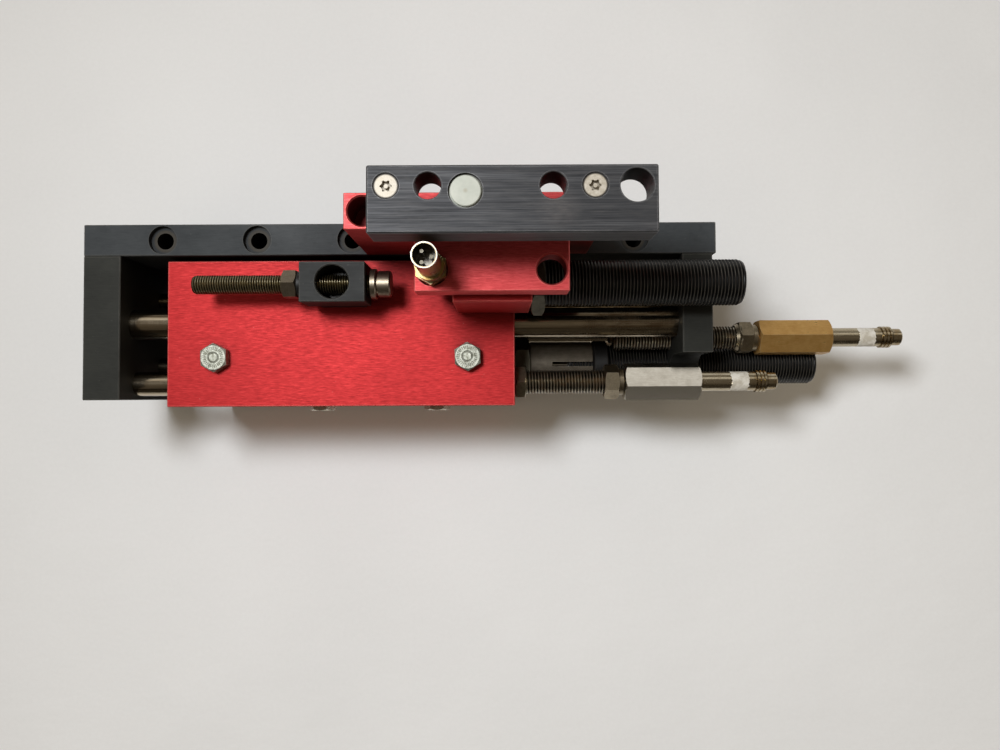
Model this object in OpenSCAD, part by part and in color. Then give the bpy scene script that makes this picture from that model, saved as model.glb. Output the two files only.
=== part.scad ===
// Pneumatic slide table: a carriage runs on two rods inside a U-shaped frame, a short-stroke
// lift module stands on the frame, and shock absorbers and threaded stops limit the travel.
// Origin: middle of the mounting hole pattern, at the base plate's lower edge. +X runs along the travel, +Z is up.

/* [Frame] */
// Length of the base plate beyond its outer mounting hole on the left
left_margin = 25.1; // [24:0.1:30]
// Length of the base plate beyond its outer mounting hole on the right
right_margin = 25.9; // [24:0.1:30]
// Thickness of the base plate
plate_thick = 10; // [9.6:0.1:12]
// Height of the base plate and of both end plates
plate_h = 60; // [58:0.5:70]
// Thickness of the left end plate
left_plate_thick = 11.7; // [11:0.1:14]
// Thickness of the right end plate
right_plate_thick = 9.6; // [9:0.1:12]
// Overhang of the base plate beyond the right end plate
right_overhang = 1.2; // [0:0.1:2]
// Depth of the end plates in front of the base plate
end_plate_depth = 45.8; // [45:0.1:50]
// Chamfer along the plates' edges
edge_chamfer = 0.25; // [0.1:0.05:0.8]
// Distance between the mounting holes in the base plate's top edge
hole_pitch = 30; // [28:0.5:32]
// Number of mounting holes in the base plate's top edge
hole_count = 6; // [6:2:6]
// Diameter of the mounting holes, which run the full height of the base plate
mount_hole_d = 5.3; // [5.1:0.1:5.5]
// Diameter of the centring recess round each mounting hole
centring_d = 9; // [8:0.1:9]
// Depth of the centring recess
centring_depth = 2.1; // [1:0.1:3]

/* [Rods] */
// Diameter of the two guide rods
guide_rod_d = 10; // [8:0.5:10]
// Distance of the guide rods in front of the base plate's centre plane
guide_y = 25.9; // [25.5:0.1:26.5]
// Distance of the guide rods from the top and the bottom of the frame
guide_inset = 10.5; // [10:0.1:11]
// Diameter of the piston rod
piston_rod_d = 6; // [5:0.5:8]
// Distance of the piston rod in front of the base plate's centre plane
piston_y = 16; // [15.8:0.1:16.2]
// Diameter of the fixed stop rod
stop_rod_d = 8; // [6:0.5:8]
// Diameter of the damper rod
damper_rod_d = 6; // [5:0.5:6]

/* [Carriage] */
// Length of the red housing
housing_len = 111.2; // [108:0.1:118]
// Depth of the red housing, across the travel
housing_depth = 46.8; // [46.5:0.1:47]
// Gap between the housing and the base plate
housing_gap = 1.3; // [1:0.1:2]
// Clearance of the housing above the frame's lower edge, and below its top edge
housing_lift = 2.5; // [2:0.1:3]
// Gap between the left end plate and the housing in the position shown
housing_start = 14; // [13:0.1:20]
// Bore of the cylinder in the housing
cylinder_bore_d = 16; // [14:0.5:16]
// Length of each cylinder end cap
cylinder_cap_len = 9; // [6:0.5:12]
// Outer diameter of the guide bushings
bushing_d = 12; // [11.5:0.1:12.4]
// Length of each guide bushing
bushing_len = 22; // [12:1:30]
// Length of the piston
piston_len = 12; // [8:0.5:16]

/* [Travel] */
// Travel of the carriage to the left of the position shown
travel_left = 12; // [8:0.5:12]
// Travel of the carriage to the right of the position shown
travel_right = 11; // [8:0.5:12]
// Stroke of both shock absorbers
absorber_stroke = 8; // [6:0.5:8]
// Downward stroke of the lift bar
lift_stroke = 10; // [6:0.5:10]

/* [Shock absorbers] */
// Thread diameter of both shock absorbers
absorber_d = 14; // [13:0.5:14]
// Body length of both shock absorbers
absorber_len = 86.1; // [80:0.1:95]
// Plunger diameter of both shock absorbers
plunger_d = 5; // [3:0.5:5]
// Height of the upper shock absorber's axis above the frame's top edge
stop_axis_rise = 10; // [9.5:0.1:11]
// Distance of the lower shock absorber in front of the base plate's centre plane
lower_absorber_y = 39.1; // [38.8:0.1:39.3]
// Distance of the lower shock absorber below the frame's top edge
lower_absorber_drop = 30; // [29.8:0.1:30.2]
// Width across flats of the shock absorbers' lock nuts
absorber_nut_af = 17; // [16:0.5:17]
// Length of the upper lock nut
upper_nut_len = 3.9; // [3:0.1:6]
// Length of the lower lock nut
lower_nut_len = 5.4; // [3:0.1:6]
// Outer diameter of the slotted adapter sleeve
adapter_d = 16.4; // [15.6:0.1:17]
// Length of the slotted adapter sleeve outside its lock nut
adapter_len = 21.7; // [20:0.1:26]
// How far the lower shock absorber is screwed into the adapter sleeve
adapter_grip = 8.3; // [5:0.1:10]
// Diameter of the black clamp ring in front of the adapter sleeve
clamp_ring_d = 17; // [16.6:0.1:18]
// Length of the black clamp ring
clamp_ring_len = 5.4; // [3:0.1:7]

/* [Stop block] */
// Length of the stop block along the travel
stop_block_len = 19.6; // [18:0.1:22]
// Side of the stop block's square section
stop_block_side = 12; // [11.6:0.1:12.6]
// Distance from the housing's left face to the stop block's centre
stop_block_from_left = 56.7; // [50:0.1:58]
// Diameter of the cross bore for the clamp screw
cross_bore_d = 10; // [9.6:0.1:10.4]
// Thread diameter of the stop screw
stop_screw_d = 5.8; // [5:0.1:6]
// Length of the stop screw and its cap
stop_screw_len = 60; // [56:1:70]
// Width across flats of the stop screw's lock nut
stop_nut_af = 8; // [8:0.1:10]
// Length of the stop screw's lock nut
stop_nut_len = 4.4; // [3:0.1:6]

/* [Stop tubes and sensors] */
// Thread diameter of the stop tubes
tube_d = 8; // [7.5:0.1:8]
// Width across flats of the long hex sleeves
sleeve_af = 11; // [10.8:0.1:11.6]
// Length of the long hex sleeves
sleeve_len = 24.8; // [22:0.1:30]
// Width across flats of the stop tubes' nuts
tube_nut_af = 10; // [9.5:0.1:10.5]
// Diameter of the slim sensors
sensor_d = 6.4; // [5.5:0.1:6.6]
// Length of the sensors outside their sleeves
sensor_len = 24.9; // [20:0.1:30]
// Distance of the lower stop tube in front of the base plate's centre plane
lower_tube_y = 45.5; // [45.2:0.1:45.8]
// Distance of the lower stop tube below the frame's top edge
lower_tube_drop = 12.5; // [12.2:0.1:12.8]
// How far the lower stop tube reaches into the housing
lower_tube_insert = 47; // [40:1:50]
// How far the lower stop tube's outer nut stands off the housing
lower_tube_reach = 29.6; // [26:0.1:34]
// Distance of the upper stop tube in front of the base plate's centre plane
upper_tube_y = 30.5; // [30.3:0.1:30.7]
// Distance of the upper stop tube below the frame's top edge
upper_tube_drop = 20; // [19.7:0.1:20.2]
// How far the upper stop tube reaches inwards from the right end plate's outer face
upper_tube_insert = 29; // [20:1:34]
// How far the upper stop tube's nut stands off the right end plate
upper_tube_reach = 13.4; // [10:0.1:20]

/* [Lift module] */
// Distance from the frame's middle to the lift module's middle
lift_x = 30; // [29:0.5:31]
// Height of the red lift body
lift_body_h = 36.2; // [35:0.1:40]
// Length of the lift body's plate, and of the lift bar
lift_plate_len = 69.8; // [69:0.1:72]
// Sideways offset of the lift body's plate to the left, and of the lift bar to the right
lift_offset = 5.2; // [4.8:0.1:5.4]
// Length of the shelf that overhangs the carriage
shelf_len = 42; // [41.6:0.1:44]
// Depth of the shelf in front of the lift body's plate
shelf_depth = 16.9; // [16.5:0.1:17.5]
// Thickness of the shelf
shelf_h = 7.8; // [7:0.1:10]
// Length of the plug sensor below the shelf's top
plug_tip_len = 19.8; // [14:0.1:20]
// Height of the plug sensor above the shelf's top
plug_rim_h = 21.2; // [16:0.1:24]
// Diameter of the plug sensor's round socket
plug_d = 6.5; // [6:0.1:7]
// Length of the absorber block
block_len = 22.4; // [22:0.1:23]
// Distance between the two guide rods of the lift
lift_rod_pitch = 50; // [50:0.5:52]
// Diameter of the lift's guide rods
lift_rod_d = 6; // [5:0.5:6]
// Gap between the shelf and the raised lift bar
lift_gap = 14.1; // [13.9:0.1:16]
// Width of the lift bar
lift_bar_width = 16.4; // [15:0.1:16.4]
// Thickness of the lift bar
lift_bar_h = 10; // [8:0.1:12]
// Diameter of the lift bar's two plain holes
bar_hole_d = 6.5; // [6:0.1:7]
// Diameter of the sensor holes in the lift body and of the large hole in the lift bar
sensor_hole_d = 8.1; // [7.9:0.1:8.2]
// Distance of the sensor holes from the lift module's middle
sensor_hole_x = 16.2; // [16:0.1:16.4]
// Diameter of the pale insert in the lift bar
insert_d = 8.4; // [8:0.1:9]

/* [Fits] */
// Radial play between pieces that are fixed together
seat_play = 0.02; // [0.01:0.01:0.05]
// Radial play of the rods that slide
slide_play = 0.05; // [0.03:0.01:0.09]
// Radial room round rods and bodies that only pass through
pass_play = 0.5; // [0.4:0.1:0.6]
// Gap left between two stops when they meet
stop_play = 0.3; // [0.3:0.1:0.5]

/* [Hidden] */

$fn = 64;
cut = 0.5;      // how far a cutting tool runs past a face
flat_up = 30;   // turn that brings a hexagon's flat to the top

black = [0.10, 0.11, 0.12];
plate_grey = [0.17, 0.18, 0.18];
red = [0.74, 0.10, 0.14];
steel = [0.72, 0.71, 0.68];
nickel = [0.62, 0.60, 0.55];
brass_tint = [0.68, 0.58, 0.42];
thread_black = [0.09, 0.09, 0.09];
zinc = [0.80, 0.80, 0.78];

// Frame
plate_x0 = -(hole_count - 1) / 2 * hole_pitch - left_margin;
plate_x1 = (hole_count - 1) / 2 * hole_pitch + right_margin;
right_outer = plate_x1 - right_overhang;
plate_front = -plate_thick / 2;
end_front = plate_front - end_plate_depth;
left_inner = plate_x0 + left_plate_thick;
right_inner = right_outer - right_plate_thick;
mid_z = plate_h / 2;
absorber_z = plate_h - lower_absorber_drop;
lower_tube_z = plate_h - lower_tube_drop;
upper_tube_z = plate_h - upper_tube_drop;
guide_z = [guide_inset, plate_h - guide_inset];
guide_seat = 7;          // depth of the rod seats in the left end plate
right_seat = 5.2;        // depth of the rod seats in the right end plate
head_recess = 2.4;       // depth of the screw heads' recesses in the end plates' outer faces
rod_x0 = left_inner - guide_seat + 0.1;
rod_x1 = right_inner + right_seat - 0.1;
plate_screw_z = [14, plate_h - 14];

// Carriage
housing_x0 = left_inner + housing_start;
housing_x1 = housing_x0 + housing_len;
housing_back = plate_front - housing_gap;
housing_front = housing_back - housing_depth;
housing_z0 = housing_lift;
housing_z1 = plate_h - housing_lift;
bushing_recess = 3;      // room for the wiper in front of each bushing
cap_recess = 2.2;        // depth of the cylinder caps behind the housing's end faces
ring_thick = 1;

// Lower stop tube, seated in the housing
lower_tube_x0 = housing_x1 - lower_tube_insert;
lower_jam_x = housing_x1 + 0.3;
lower_jam_len = 3.5;
lower_lock_x = housing_x1 + lower_tube_reach;
lower_lock_len = 4.9;
lower_sleeve_x = lower_lock_x + lower_lock_len + 1.8;
lower_sleeve_x1 = lower_sleeve_x + sleeve_len;
lower_sensor_x1 = lower_sleeve_x1 + sensor_len + 0.8;
stop_rod_x1 = lower_tube_x0 - travel_left - stop_play;

// Lower shock absorber in its adapter sleeve
neck_insert = 20;
lower_nut_x = housing_x1 + 0.4;
adapter_x0 = lower_nut_x + lower_nut_len;
adapter_x1 = adapter_x0 + adapter_len;
lower_absorber_x0 = adapter_x1 - adapter_grip;
plunger_reach = absorber_stroke + 0.5;
lower_plunger_tip = lower_absorber_x0 - plunger_reach;
damper_rod_x1 = lower_plunger_tip - travel_left - stop_play;
neck_bore_r = damper_rod_d / 2 + 1;

// Upper stop tube, seated in the right end plate
upper_tube_x0 = right_outer - upper_tube_insert;
upper_nut_x = right_outer + upper_tube_reach;
upper_nut_body = 4.8;
upper_sleeve_x = upper_nut_x + upper_nut_body + 2;
upper_sleeve_x1 = upper_sleeve_x + sleeve_len - 0.5;
upper_sensor_x1 = upper_sleeve_x1 + sensor_len;
upper_turn = -4.5;       // turn of the upper nut and sleeve
notch_r = 9.1;           // relief of the right end plate round the lower sleeve
absorber_hole_r = absorber_d / 2 + 2 * pass_play;

// Lift module on the base plate
lift_z0 = plate_h;
lift_z1 = lift_z0 + lift_body_h;
body_x0 = lift_x - lift_offset - lift_plate_len / 2;
bar_x0 = lift_x + lift_offset - lift_plate_len / 2;
bar_z0 = lift_z1 + lift_gap;
bar_z1 = bar_z0 + lift_bar_h;
shelf_front = plate_front - shelf_depth;
shelf_z0 = lift_z1 - shelf_h;
shelf_hole_y = -16;
end_hole_x = 35;         // large end holes, from the lift module's middle
rod_floor = 1.5;         // material left under the lift rods' bores
lift_rod_z0 = lift_z0 + rod_floor + lift_stroke + 0.6;
lift_bore_r = 3.5;
lift_bore_z0 = lift_z0 + 6;
lift_bore_z1 = lift_z1 - 6;
lift_piston_h = 6;
lift_piston_z0 = lift_bore_z0 + lift_stroke + 0.6;
lift_shaft_r = 2;

// Stop screw and upper shock absorber share one axis
stop_z = plate_h + stop_axis_rise;
stop_y = -piston_y + 0.1;
block_x0 = lift_x - block_len / 2;
block_x1 = lift_x + block_len / 2;
block_depth_r = absorber_d / 2 + 0.9;
upper_absorber_x0 = block_x0 + 0.2;
upper_plunger_tip = upper_absorber_x0 - plunger_reach;
upper_lock_x = block_x1 + 0.4;
stop_cap_x1 = upper_plunger_tip - travel_right - stop_play;
stop_cap_len = 6.2;
stop_cap_x0 = stop_cap_x1 - stop_cap_len;
stop_block_x = housing_x0 + stop_block_from_left;
stop_block_x0 = stop_block_x - stop_block_len / 2;
stop_block_x1 = stop_block_x + stop_block_len / 2;
stop_block_z0 = stop_z - stop_block_side / 2;
washer_len = 1.2;
clamp_head_h = 4.8;
clamp_seat_z = stop_z - stop_screw_d / 2 - clamp_head_h - 0.6;

// Sizes of small screws: thread radius, head radius, head height
m3 = [1.5, 2.75, 3];
m4_low = [2, 3.5, 2.2];
m5 = [2.5, 4.25, 5];

// Cylinder along X from x0 to x1
module bar_x(x0, x1, r, y, z) {
    translate([x0, y, z]) rotate([0, 90, 0]) cylinder(h = x1 - x0, r = r);
}

// Cylinder along X with a chamfer at both ends
module chamfered_bar_x(x0, x1, r, y, z, c) {
    len = x1 - x0;
    translate([x0, y, z]) rotate([0, 90, 0]) rotate_extrude()
        polygon([[0, 0], [r - c, 0], [r, c], [r, len - c], [r - c, len], [0, len]]);
}

// Hexagon along X with turned corners, across-flats size af
module hex_x(x0, x1, af, y, z, turn = 0, c = 0.6) {
    len = x1 - x0;
    r = af / sqrt(3);
    translate([x0, y, z]) rotate([0, 90, 0]) intersection() {
        rotate(turn) cylinder(h = len, r = r, $fn = 6);
        rotate_extrude()
            polygon([[0, 0], [r - 1.6 * c, 0], [r + 0.01, c], [r + 0.01, len - c], [r - 1.6 * c, len], [0, len]]);
    }
}

// Box between two corners with chamfered edges
module chamfered_box(a, b, c) {
    s = b - a;
    translate(a) intersection() {
        linear_extrude(s[2]) chamfered_rect(s[0], s[1], c);
        translate([0, s[1], 0]) rotate([90, 0, 0]) linear_extrude(s[1]) chamfered_rect(s[0], s[2], c);
        rotate([90, 0, 90]) linear_extrude(s[0]) chamfered_rect(s[1], s[2], c);
    }
}

module chamfered_rect(w, h, c) {
    polygon([[c, 0], [w - c, 0], [w, c], [w, h - c], [w - c, h], [c, h], [0, h - c], [0, c]]);
}

// Upright bore with a chamfered mouth at its top
module bore_down(x, y, z_top, depth, r, c = 0.4) {
    translate([x, y, z_top - depth]) cylinder(h = depth + cut, r = r);
    translate([x, y, z_top - c]) cylinder(h = c + cut, r1 = r, r2 = r + c + cut);
}

// Socket head screw along +Z, with the head's underside at z = 0 and the head above it
module socket_screw(size, shank) {
    key = size[0] * 0.95;
    difference() {
        union() {
            translate([0, 0, -shank]) cylinder(h = shank, r = size[0]);
            cylinder(h = size[2], r = size[1]);
        }
        translate([0, 0, size[2] / 2]) cylinder(h = size[2], r = key, $fn = 6);
    }
}

// Hole for a socket head screw, with the head's seat at z = 0
module screw_hole(size, shank, head_room) {
    translate([0, 0, -shank]) cylinder(h = shank + cut, r = size[0] + seat_play);
    cylinder(h = head_room, r = size[1] + 0.25);
}

function mount_hole_x(i) = (i - (hole_count - 1) / 2) * hole_pitch;

// ---- Frame ----

flange_screw_seat = 6;   // depth of the deep recesses under the lift body
flange_screw_bite = 10;

module base_plate() {
    color(black) difference() {
        chamfered_box([plate_x0, plate_front, 0], [plate_x1, plate_thick / 2, plate_h], edge_chamfer);
        for (i = [0 : hole_count - 1]) translate([mount_hole_x(i), 0, 0]) {
            translate([0, 0, -cut]) cylinder(h = plate_h + 2 * cut, d = mount_hole_d);
            translate([0, 0, plate_h - centring_depth]) cylinder(h = centring_depth + cut, d = centring_d);
            translate([0, 0, -cut]) cylinder(h = centring_depth + cut, d = centring_d);
        }
        for (s = [-1, 1]) translate([lift_x + s * hole_pitch / 2, 0, -cut])
            cylinder(h = flange_screw_seat + cut, d = centring_d);
        end_plate_screw_places() screw_hole(m5, plate_thick + cut, 2 * m5[2]);
    }
}

// Screws from the back of the base plate into both end plates
module end_plate_screw_places() {
    for (x = [plate_x0 + left_plate_thick / 2, right_outer - right_plate_thick / 2], z = plate_screw_z)
        translate([x, plate_thick / 2 - m5[2] - 0.3, z]) rotate([-90, 0, 0]) children();
}

plate_screw_shank = 18;

module end_plate_screws() {
    color(zinc) end_plate_screw_places() socket_screw(m5, plate_screw_shank);
}

// Rod seat in an end plate's inner face and, behind it, the hole for the screw that holds the rod
module guide_seats(inner, outer, depth) {
    dir = sign(outer - inner);
    for (z = guide_z) {
        span_x(inner - dir * cut, inner + dir * depth, guide_rod_d / 2 + seat_play, z);
        span_x(inner, outer, m4_low[0] + seat_play, z);
        span_x(outer - dir * head_recess, outer + dir * cut, m4_low[1] + 0.25, z);
    }
}

// Cylinder along X between two ends in any order, on a guide rod's axis
module span_x(a, b, r, z) {
    bar_x(min(a, b), max(a, b), r, -guide_y, z);
}

module left_end_plate() {
    color(plate_grey) difference() {
        chamfered_box([plate_x0, end_front, 0], [left_inner, plate_front, plate_h], edge_chamfer);
        guide_seats(left_inner, plate_x0, guide_seat);
        bar_x(left_inner - guide_seat, left_inner + cut, piston_rod_d / 2 + seat_play, -piston_y, mid_z);
        bar_x(left_inner - guide_seat, left_inner + cut, stop_rod_d / 2 + seat_play, -lower_tube_y, lower_tube_z);
        bar_x(left_inner - guide_seat, left_inner + cut, damper_rod_d / 2 + seat_play, -lower_absorber_y, absorber_z);
        end_plate_screw_places() screw_hole(m5, plate_screw_shank + cut, m5[2]);
    }
}

module right_end_plate() {
    color(plate_grey) difference() {
        chamfered_box([right_inner, end_front, 0], [right_outer, plate_front, plate_h], edge_chamfer);
        guide_seats(right_inner, right_outer, right_seat);
        bar_x(right_inner - cut, right_inner + right_seat, piston_rod_d / 2 + seat_play, -piston_y, mid_z);
        bar_x(right_inner - cut, right_outer + cut, tube_d / 2 + seat_play, -upper_tube_y, upper_tube_z);
        bar_x(right_inner - cut, right_outer + cut, absorber_hole_r, -lower_absorber_y, absorber_z);
        bar_x(right_inner - cut, right_outer + cut, notch_r, -lower_tube_y, lower_tube_z);
        translate([right_inner - cut, -lower_tube_y - 3 * notch_r, lower_tube_z])
            cube([right_plate_thick + 2 * cut, 4 * notch_r, plate_h]);
        translate([right_inner - cut, -lower_tube_y - 3 * notch_r, lower_tube_z - notch_r])
            cube([right_plate_thick + 2 * cut, 3 * notch_r, plate_h]);
        end_plate_screw_places() screw_hole(m5, plate_screw_shank + cut, m5[2]);
    }
}

rod_end_bore = 14;

module guide_rods() {
    color(steel) for (z = guide_z) difference() {
        chamfered_bar_x(rod_x0, rod_x1, guide_rod_d / 2, -guide_y, z, 0.5);
        bar_x(plate_x0, plate_x0 + rod_end_bore, m4_low[0] + seat_play, -guide_y, z);
        bar_x(right_outer - rod_end_bore, right_outer, m4_low[0] + seat_play, -guide_y, z);
    }
}

// Low-headed screws, sunk in the outer faces of the end plates, that hold the guide rods
module guide_rod_screws() {
    shank = rod_end_bore - head_recess - 1;
    color(zinc) for (z = guide_z) {
        translate([plate_x0 + head_recess, -guide_y, z]) rotate([0, -90, 0]) socket_screw(m4_low, shank);
        translate([right_outer - head_recess, -guide_y, z]) rotate([0, 90, 0]) socket_screw(m4_low, shank);
    }
}

piston_bolt_r = piston_rod_d / 2;

module piston_rod() {
    color(steel) chamfered_bar_x(rod_x0, rod_x1, piston_bolt_r, -piston_y, mid_z, 0.4);
}

seal_groove = 2;
seal_len = 3;

module piston() {
    color(steel) difference() {
        bar_x(-piston_len / 2, piston_len / 2, cylinder_bore_d / 2 - 2 * slide_play, -piston_y, mid_z);
        bar_x(-piston_len, piston_len, piston_bolt_r + seat_play, -piston_y, mid_z);
        difference() {
            bar_x(-seal_len / 2, seal_len / 2, cylinder_bore_d, -piston_y, mid_z);
            bar_x(-seal_len, seal_len, cylinder_bore_d / 2 - seal_groove, -piston_y, mid_z);
        }
    }
}

module piston_seal() {
    r = cylinder_bore_d / 2 - slide_play;
    color([0.15, 0.15, 0.15]) difference() {
        bar_x(-seal_len / 2 + 0.05, seal_len / 2 - 0.05, r, -piston_y, mid_z);
        bar_x(-seal_len, seal_len, cylinder_bore_d / 2 - seal_groove + seat_play, -piston_y, mid_z);
    }
}

module stop_rod() {
    color(steel) chamfered_bar_x(rod_x0, stop_rod_x1, stop_rod_d / 2, -lower_tube_y, lower_tube_z, 0.5);
}

module damper_rod() {
    color(steel) chamfered_bar_x(rod_x0, damper_rod_x1, damper_rod_d / 2, -lower_absorber_y, absorber_z, 0.5);
}

// Threaded tube with a sensing pin at its inner end and a through bore for the sensor
tube_bore_r = 2.2;

module stop_tube(x0, x1, y, z) {
    difference() {
        union() {
            chamfered_bar_x(x0, x1, tube_d / 2, y, z, 0.5);
            chamfered_bar_x(x0 - 1.6, x0 + 1, 1.6, y, z, 0.3);
        }
        bar_x(x1 - 12, x1 + cut, tube_bore_r, y, z);
    }
}

// Long hex sleeve, bored for the tube on one side and for the sensor on the other
module hex_sleeve(x0, x1, y, z, turn) {
    difference() {
        hex_x(x0, x1, sleeve_af, y, z, turn, 0.5);
        bar_x(x0 - cut, x0 + tube_grip, tube_d / 2 + seat_play, y, z);
        bar_x(x0, x1 + cut, sensor_d / 2 + seat_play, y, z);
    }
}

tube_grip = 9;

// Slim sensor that sits in a sleeve; its outer end is ribbed for the plug
module sensor_body(x0, x1, y, z) {
    chamfered_bar_x(x0, x1, sensor_d / 2, y, z, 0.2);
}

sensor_end_len = 6.9;

module sensor_end(x0, y, z) {
    r = sensor_d / 2;
    rib = 0.45;
    neck = 0.35;
    translate([x0, y, z]) rotate([0, 90, 0]) difference() {
        rotate_extrude() polygon([
            [0, 0], [r + rib, 0], [r + rib, 0.7], [r, 0.9], [r, 1.1], [r + rib, 1.3], [r + rib, 1.9],
            [r, 2.1], [r, 2.3], [r + rib, 2.5], [r + rib, 3.1], [r - neck - 0.3, 3.3], [r - neck - 0.3, 3.6],
            [r - neck, 3.7], [r - neck, sensor_end_len - 0.4], [r - neck - 0.4, sensor_end_len], [0, sensor_end_len]
        ]);
        translate([0, 0, sensor_end_len - 3]) cylinder(h = 3 + cut, r = r - neck - 0.8);
    }
}

module upper_stop_tube() {
    color(nickel) stop_tube(upper_tube_x0, upper_sleeve_x + tube_grip - 0.2, -upper_tube_y, upper_tube_z);
}

module upper_stop_nut() {
    color(nickel) difference() {
        union() {
            hex_x(upper_nut_x, upper_nut_x + upper_nut_body, tube_nut_af, -upper_tube_y, upper_tube_z, upper_turn);
            translate([upper_nut_x - 0.9, -upper_tube_y, upper_tube_z]) rotate([0, 90, 0])
                cylinder(h = 1.7, r1 = tube_d / 2 + 0.3, r2 = tube_nut_af / 2 + 0.3);
            chamfered_bar_x(upper_nut_x + upper_nut_body - 0.4, upper_sleeve_x - 0.2, tube_nut_af / 2 - 0.5,
                -upper_tube_y, upper_tube_z, 0.3);
        }
        bar_x(upper_nut_x - 2, upper_sleeve_x, tube_d / 2 + seat_play, -upper_tube_y, upper_tube_z);
    }
}

module upper_stop_sleeve() {
    color(brass_tint) hex_sleeve(upper_sleeve_x, upper_sleeve_x1, -upper_tube_y, upper_tube_z, upper_turn);
}

module upper_sensor() {
    x0 = upper_sleeve_x + tube_grip + 0.2;
    color(nickel) sensor_body(x0, upper_sensor_x1 - sensor_end_len, -upper_tube_y, upper_tube_z);
}

module upper_sensor_end() {
    color(nickel) sensor_end(upper_sensor_x1 - sensor_end_len, -upper_tube_y, upper_tube_z);
}

// ---- Lift module ----

body_screw_x = 7;
body_screw_z = 5.8;
body_screw_shank = plate_thick - m3[2] + 4.4;

// Screws through the lift body's plate into the absorber block
module block_screw_places() {
    for (sx = [-1, 1], sz = [-1, 1])
        translate([lift_x + sx * body_screw_x, plate_thick / 2 - m3[2] - 0.2, stop_z + sz * body_screw_z])
            rotate([-90, 0, 0]) children();
}

module lift_body() {
    color(red) difference() {
        union() {
            chamfered_box([body_x0, plate_front, lift_z0], [body_x0 + lift_plate_len, plate_thick / 2, lift_z1], edge_chamfer);
            chamfered_box([lift_x - shelf_len / 2, shelf_front, shelf_z0],
                [lift_x + shelf_len / 2, plate_front + 3, lift_z1], edge_chamfer);
        }
        for (s = [-1, 1]) {
            bore_down(lift_x + s * lift_rod_pitch / 2, 0, lift_z1, lift_body_h - rod_floor, lift_rod_d / 2 + slide_play);
            translate([lift_x + s * hole_pitch / 2, 0, lift_z0 - cut])
                cylinder(h = flange_screw_bite + 1 + cut, r = m5[0] + seat_play);
            bore_down(lift_x + s * sensor_hole_x, shelf_hole_y, lift_z1, shelf_h + cut, sensor_hole_d / 2);
        }
        bore_down(lift_x - end_hole_x, 0, lift_z1, 12, sensor_hole_d / 2);
        translate([lift_x, 0, lift_z0 - cut]) cylinder(h = lift_bore_z1 - lift_z0 + cut, r = lift_bore_r);
        translate([lift_x, 0, lift_bore_z1 - cut]) cylinder(h = lift_z1 - lift_bore_z1 + 2 * cut, r = lift_shaft_r + slide_play);
        block_screw_places() screw_hole(m3, body_screw_shank + cut, 2 * m3[2]);
    }
}

// Screws from below, through the base plate, that hold the lift body
module lift_body_screws() {
    color(zinc) for (s = [-1, 1]) translate([lift_x + s * hole_pitch / 2, 0, flange_screw_seat])
        rotate([180, 0, 0]) socket_screw(m5, plate_h - flange_screw_seat + flange_screw_bite);
}

module lift_cylinder_plug() {
    color(steel) translate([lift_x, 0, lift_z0 + 0.2]) cylinder(h = lift_bore_z0 - lift_z0 - 0.4, r = lift_bore_r - seat_play);
}

module absorber_block() {
    color(red) difference() {
        chamfered_box([block_x0, stop_y - block_depth_r, lift_z0], [block_x1, plate_front, shelf_z0], edge_chamfer);
        bar_x(block_x0 - cut, block_x1 + cut, absorber_d / 2 + seat_play, stop_y, stop_z);
        block_screw_places() screw_hole(m3, body_screw_shank + cut, m3[2]);
    }
}

module absorber_block_screws() {
    color(zinc) block_screw_places() socket_screw(m3, body_screw_shank);
}

// Shock absorber body with the plunger's bore at its left end and a hex socket at its right end
module absorber_body(x0, y, z) {
    difference() {
        chamfered_bar_x(x0, x0 + absorber_len, absorber_d / 2, y, z, 0.9);
        bar_x(x0 - cut, x0 + 2 * absorber_stroke + 6, plunger_d / 2 + slide_play, y, z);
        translate([x0 + absorber_len - 5, y, z]) rotate([0, 90, 0]) cylinder(h = 5 + cut, r = 2.3, $fn = 6);
    }
}

module absorber_plunger(tip, body_x, y, z) {
    chamfered_bar_x(tip, body_x + absorber_stroke, plunger_d / 2, y, z, 0.6);
}

module absorber_nut(x0, len, y, z) {
    difference() {
        hex_x(x0, x0 + len, absorber_nut_af, y, z, flat_up, 0.7);
        bar_x(x0 - cut, x0 + len + cut, absorber_d / 2 + seat_play, y, z);
    }
}

module upper_absorber() {
    color(thread_black) absorber_body(upper_absorber_x0, stop_y, stop_z);
}

module upper_absorber_nut() {
    color(nickel) absorber_nut(upper_lock_x, upper_nut_len, stop_y, stop_z);
}

module upper_plunger() {
    color(steel) absorber_plunger(upper_plunger_tip, upper_absorber_x0, stop_y, stop_z);
}

plug_hex_h = 3.7;
plug_hex_af = 8;
plug_wall = 0.4;
plug_pin_circle = 1.6;
plug_neck_h = 7;         // height of the wider round part above the hexagon's foot
plug_r = plug_d / 2;
plug_depth = 8;

// Sensor that passes through the shelf, with a round male plug above its hex foot
module plug_sensor() {
    x = lift_x - sensor_hole_x;
    color(nickel) translate([x, shelf_hole_y, lift_z1]) difference() {
        union() {
            translate([0, 0, -plug_tip_len]) cylinder(h = plug_tip_len, r = sensor_hole_d / 2 - seat_play - 0.03);
            rotate(flat_up) cylinder(h = plug_hex_h, r = plug_hex_af / sqrt(3), $fn = 6);
            cylinder(h = plug_neck_h, r = sensor_hole_d / 2 - 0.15);
            cylinder(h = plug_rim_h, r = plug_r);
        }
        translate([0, 0, plug_rim_h - plug_depth]) cylinder(h = plug_depth + cut, r = plug_r - plug_wall);
    }
}

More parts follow.
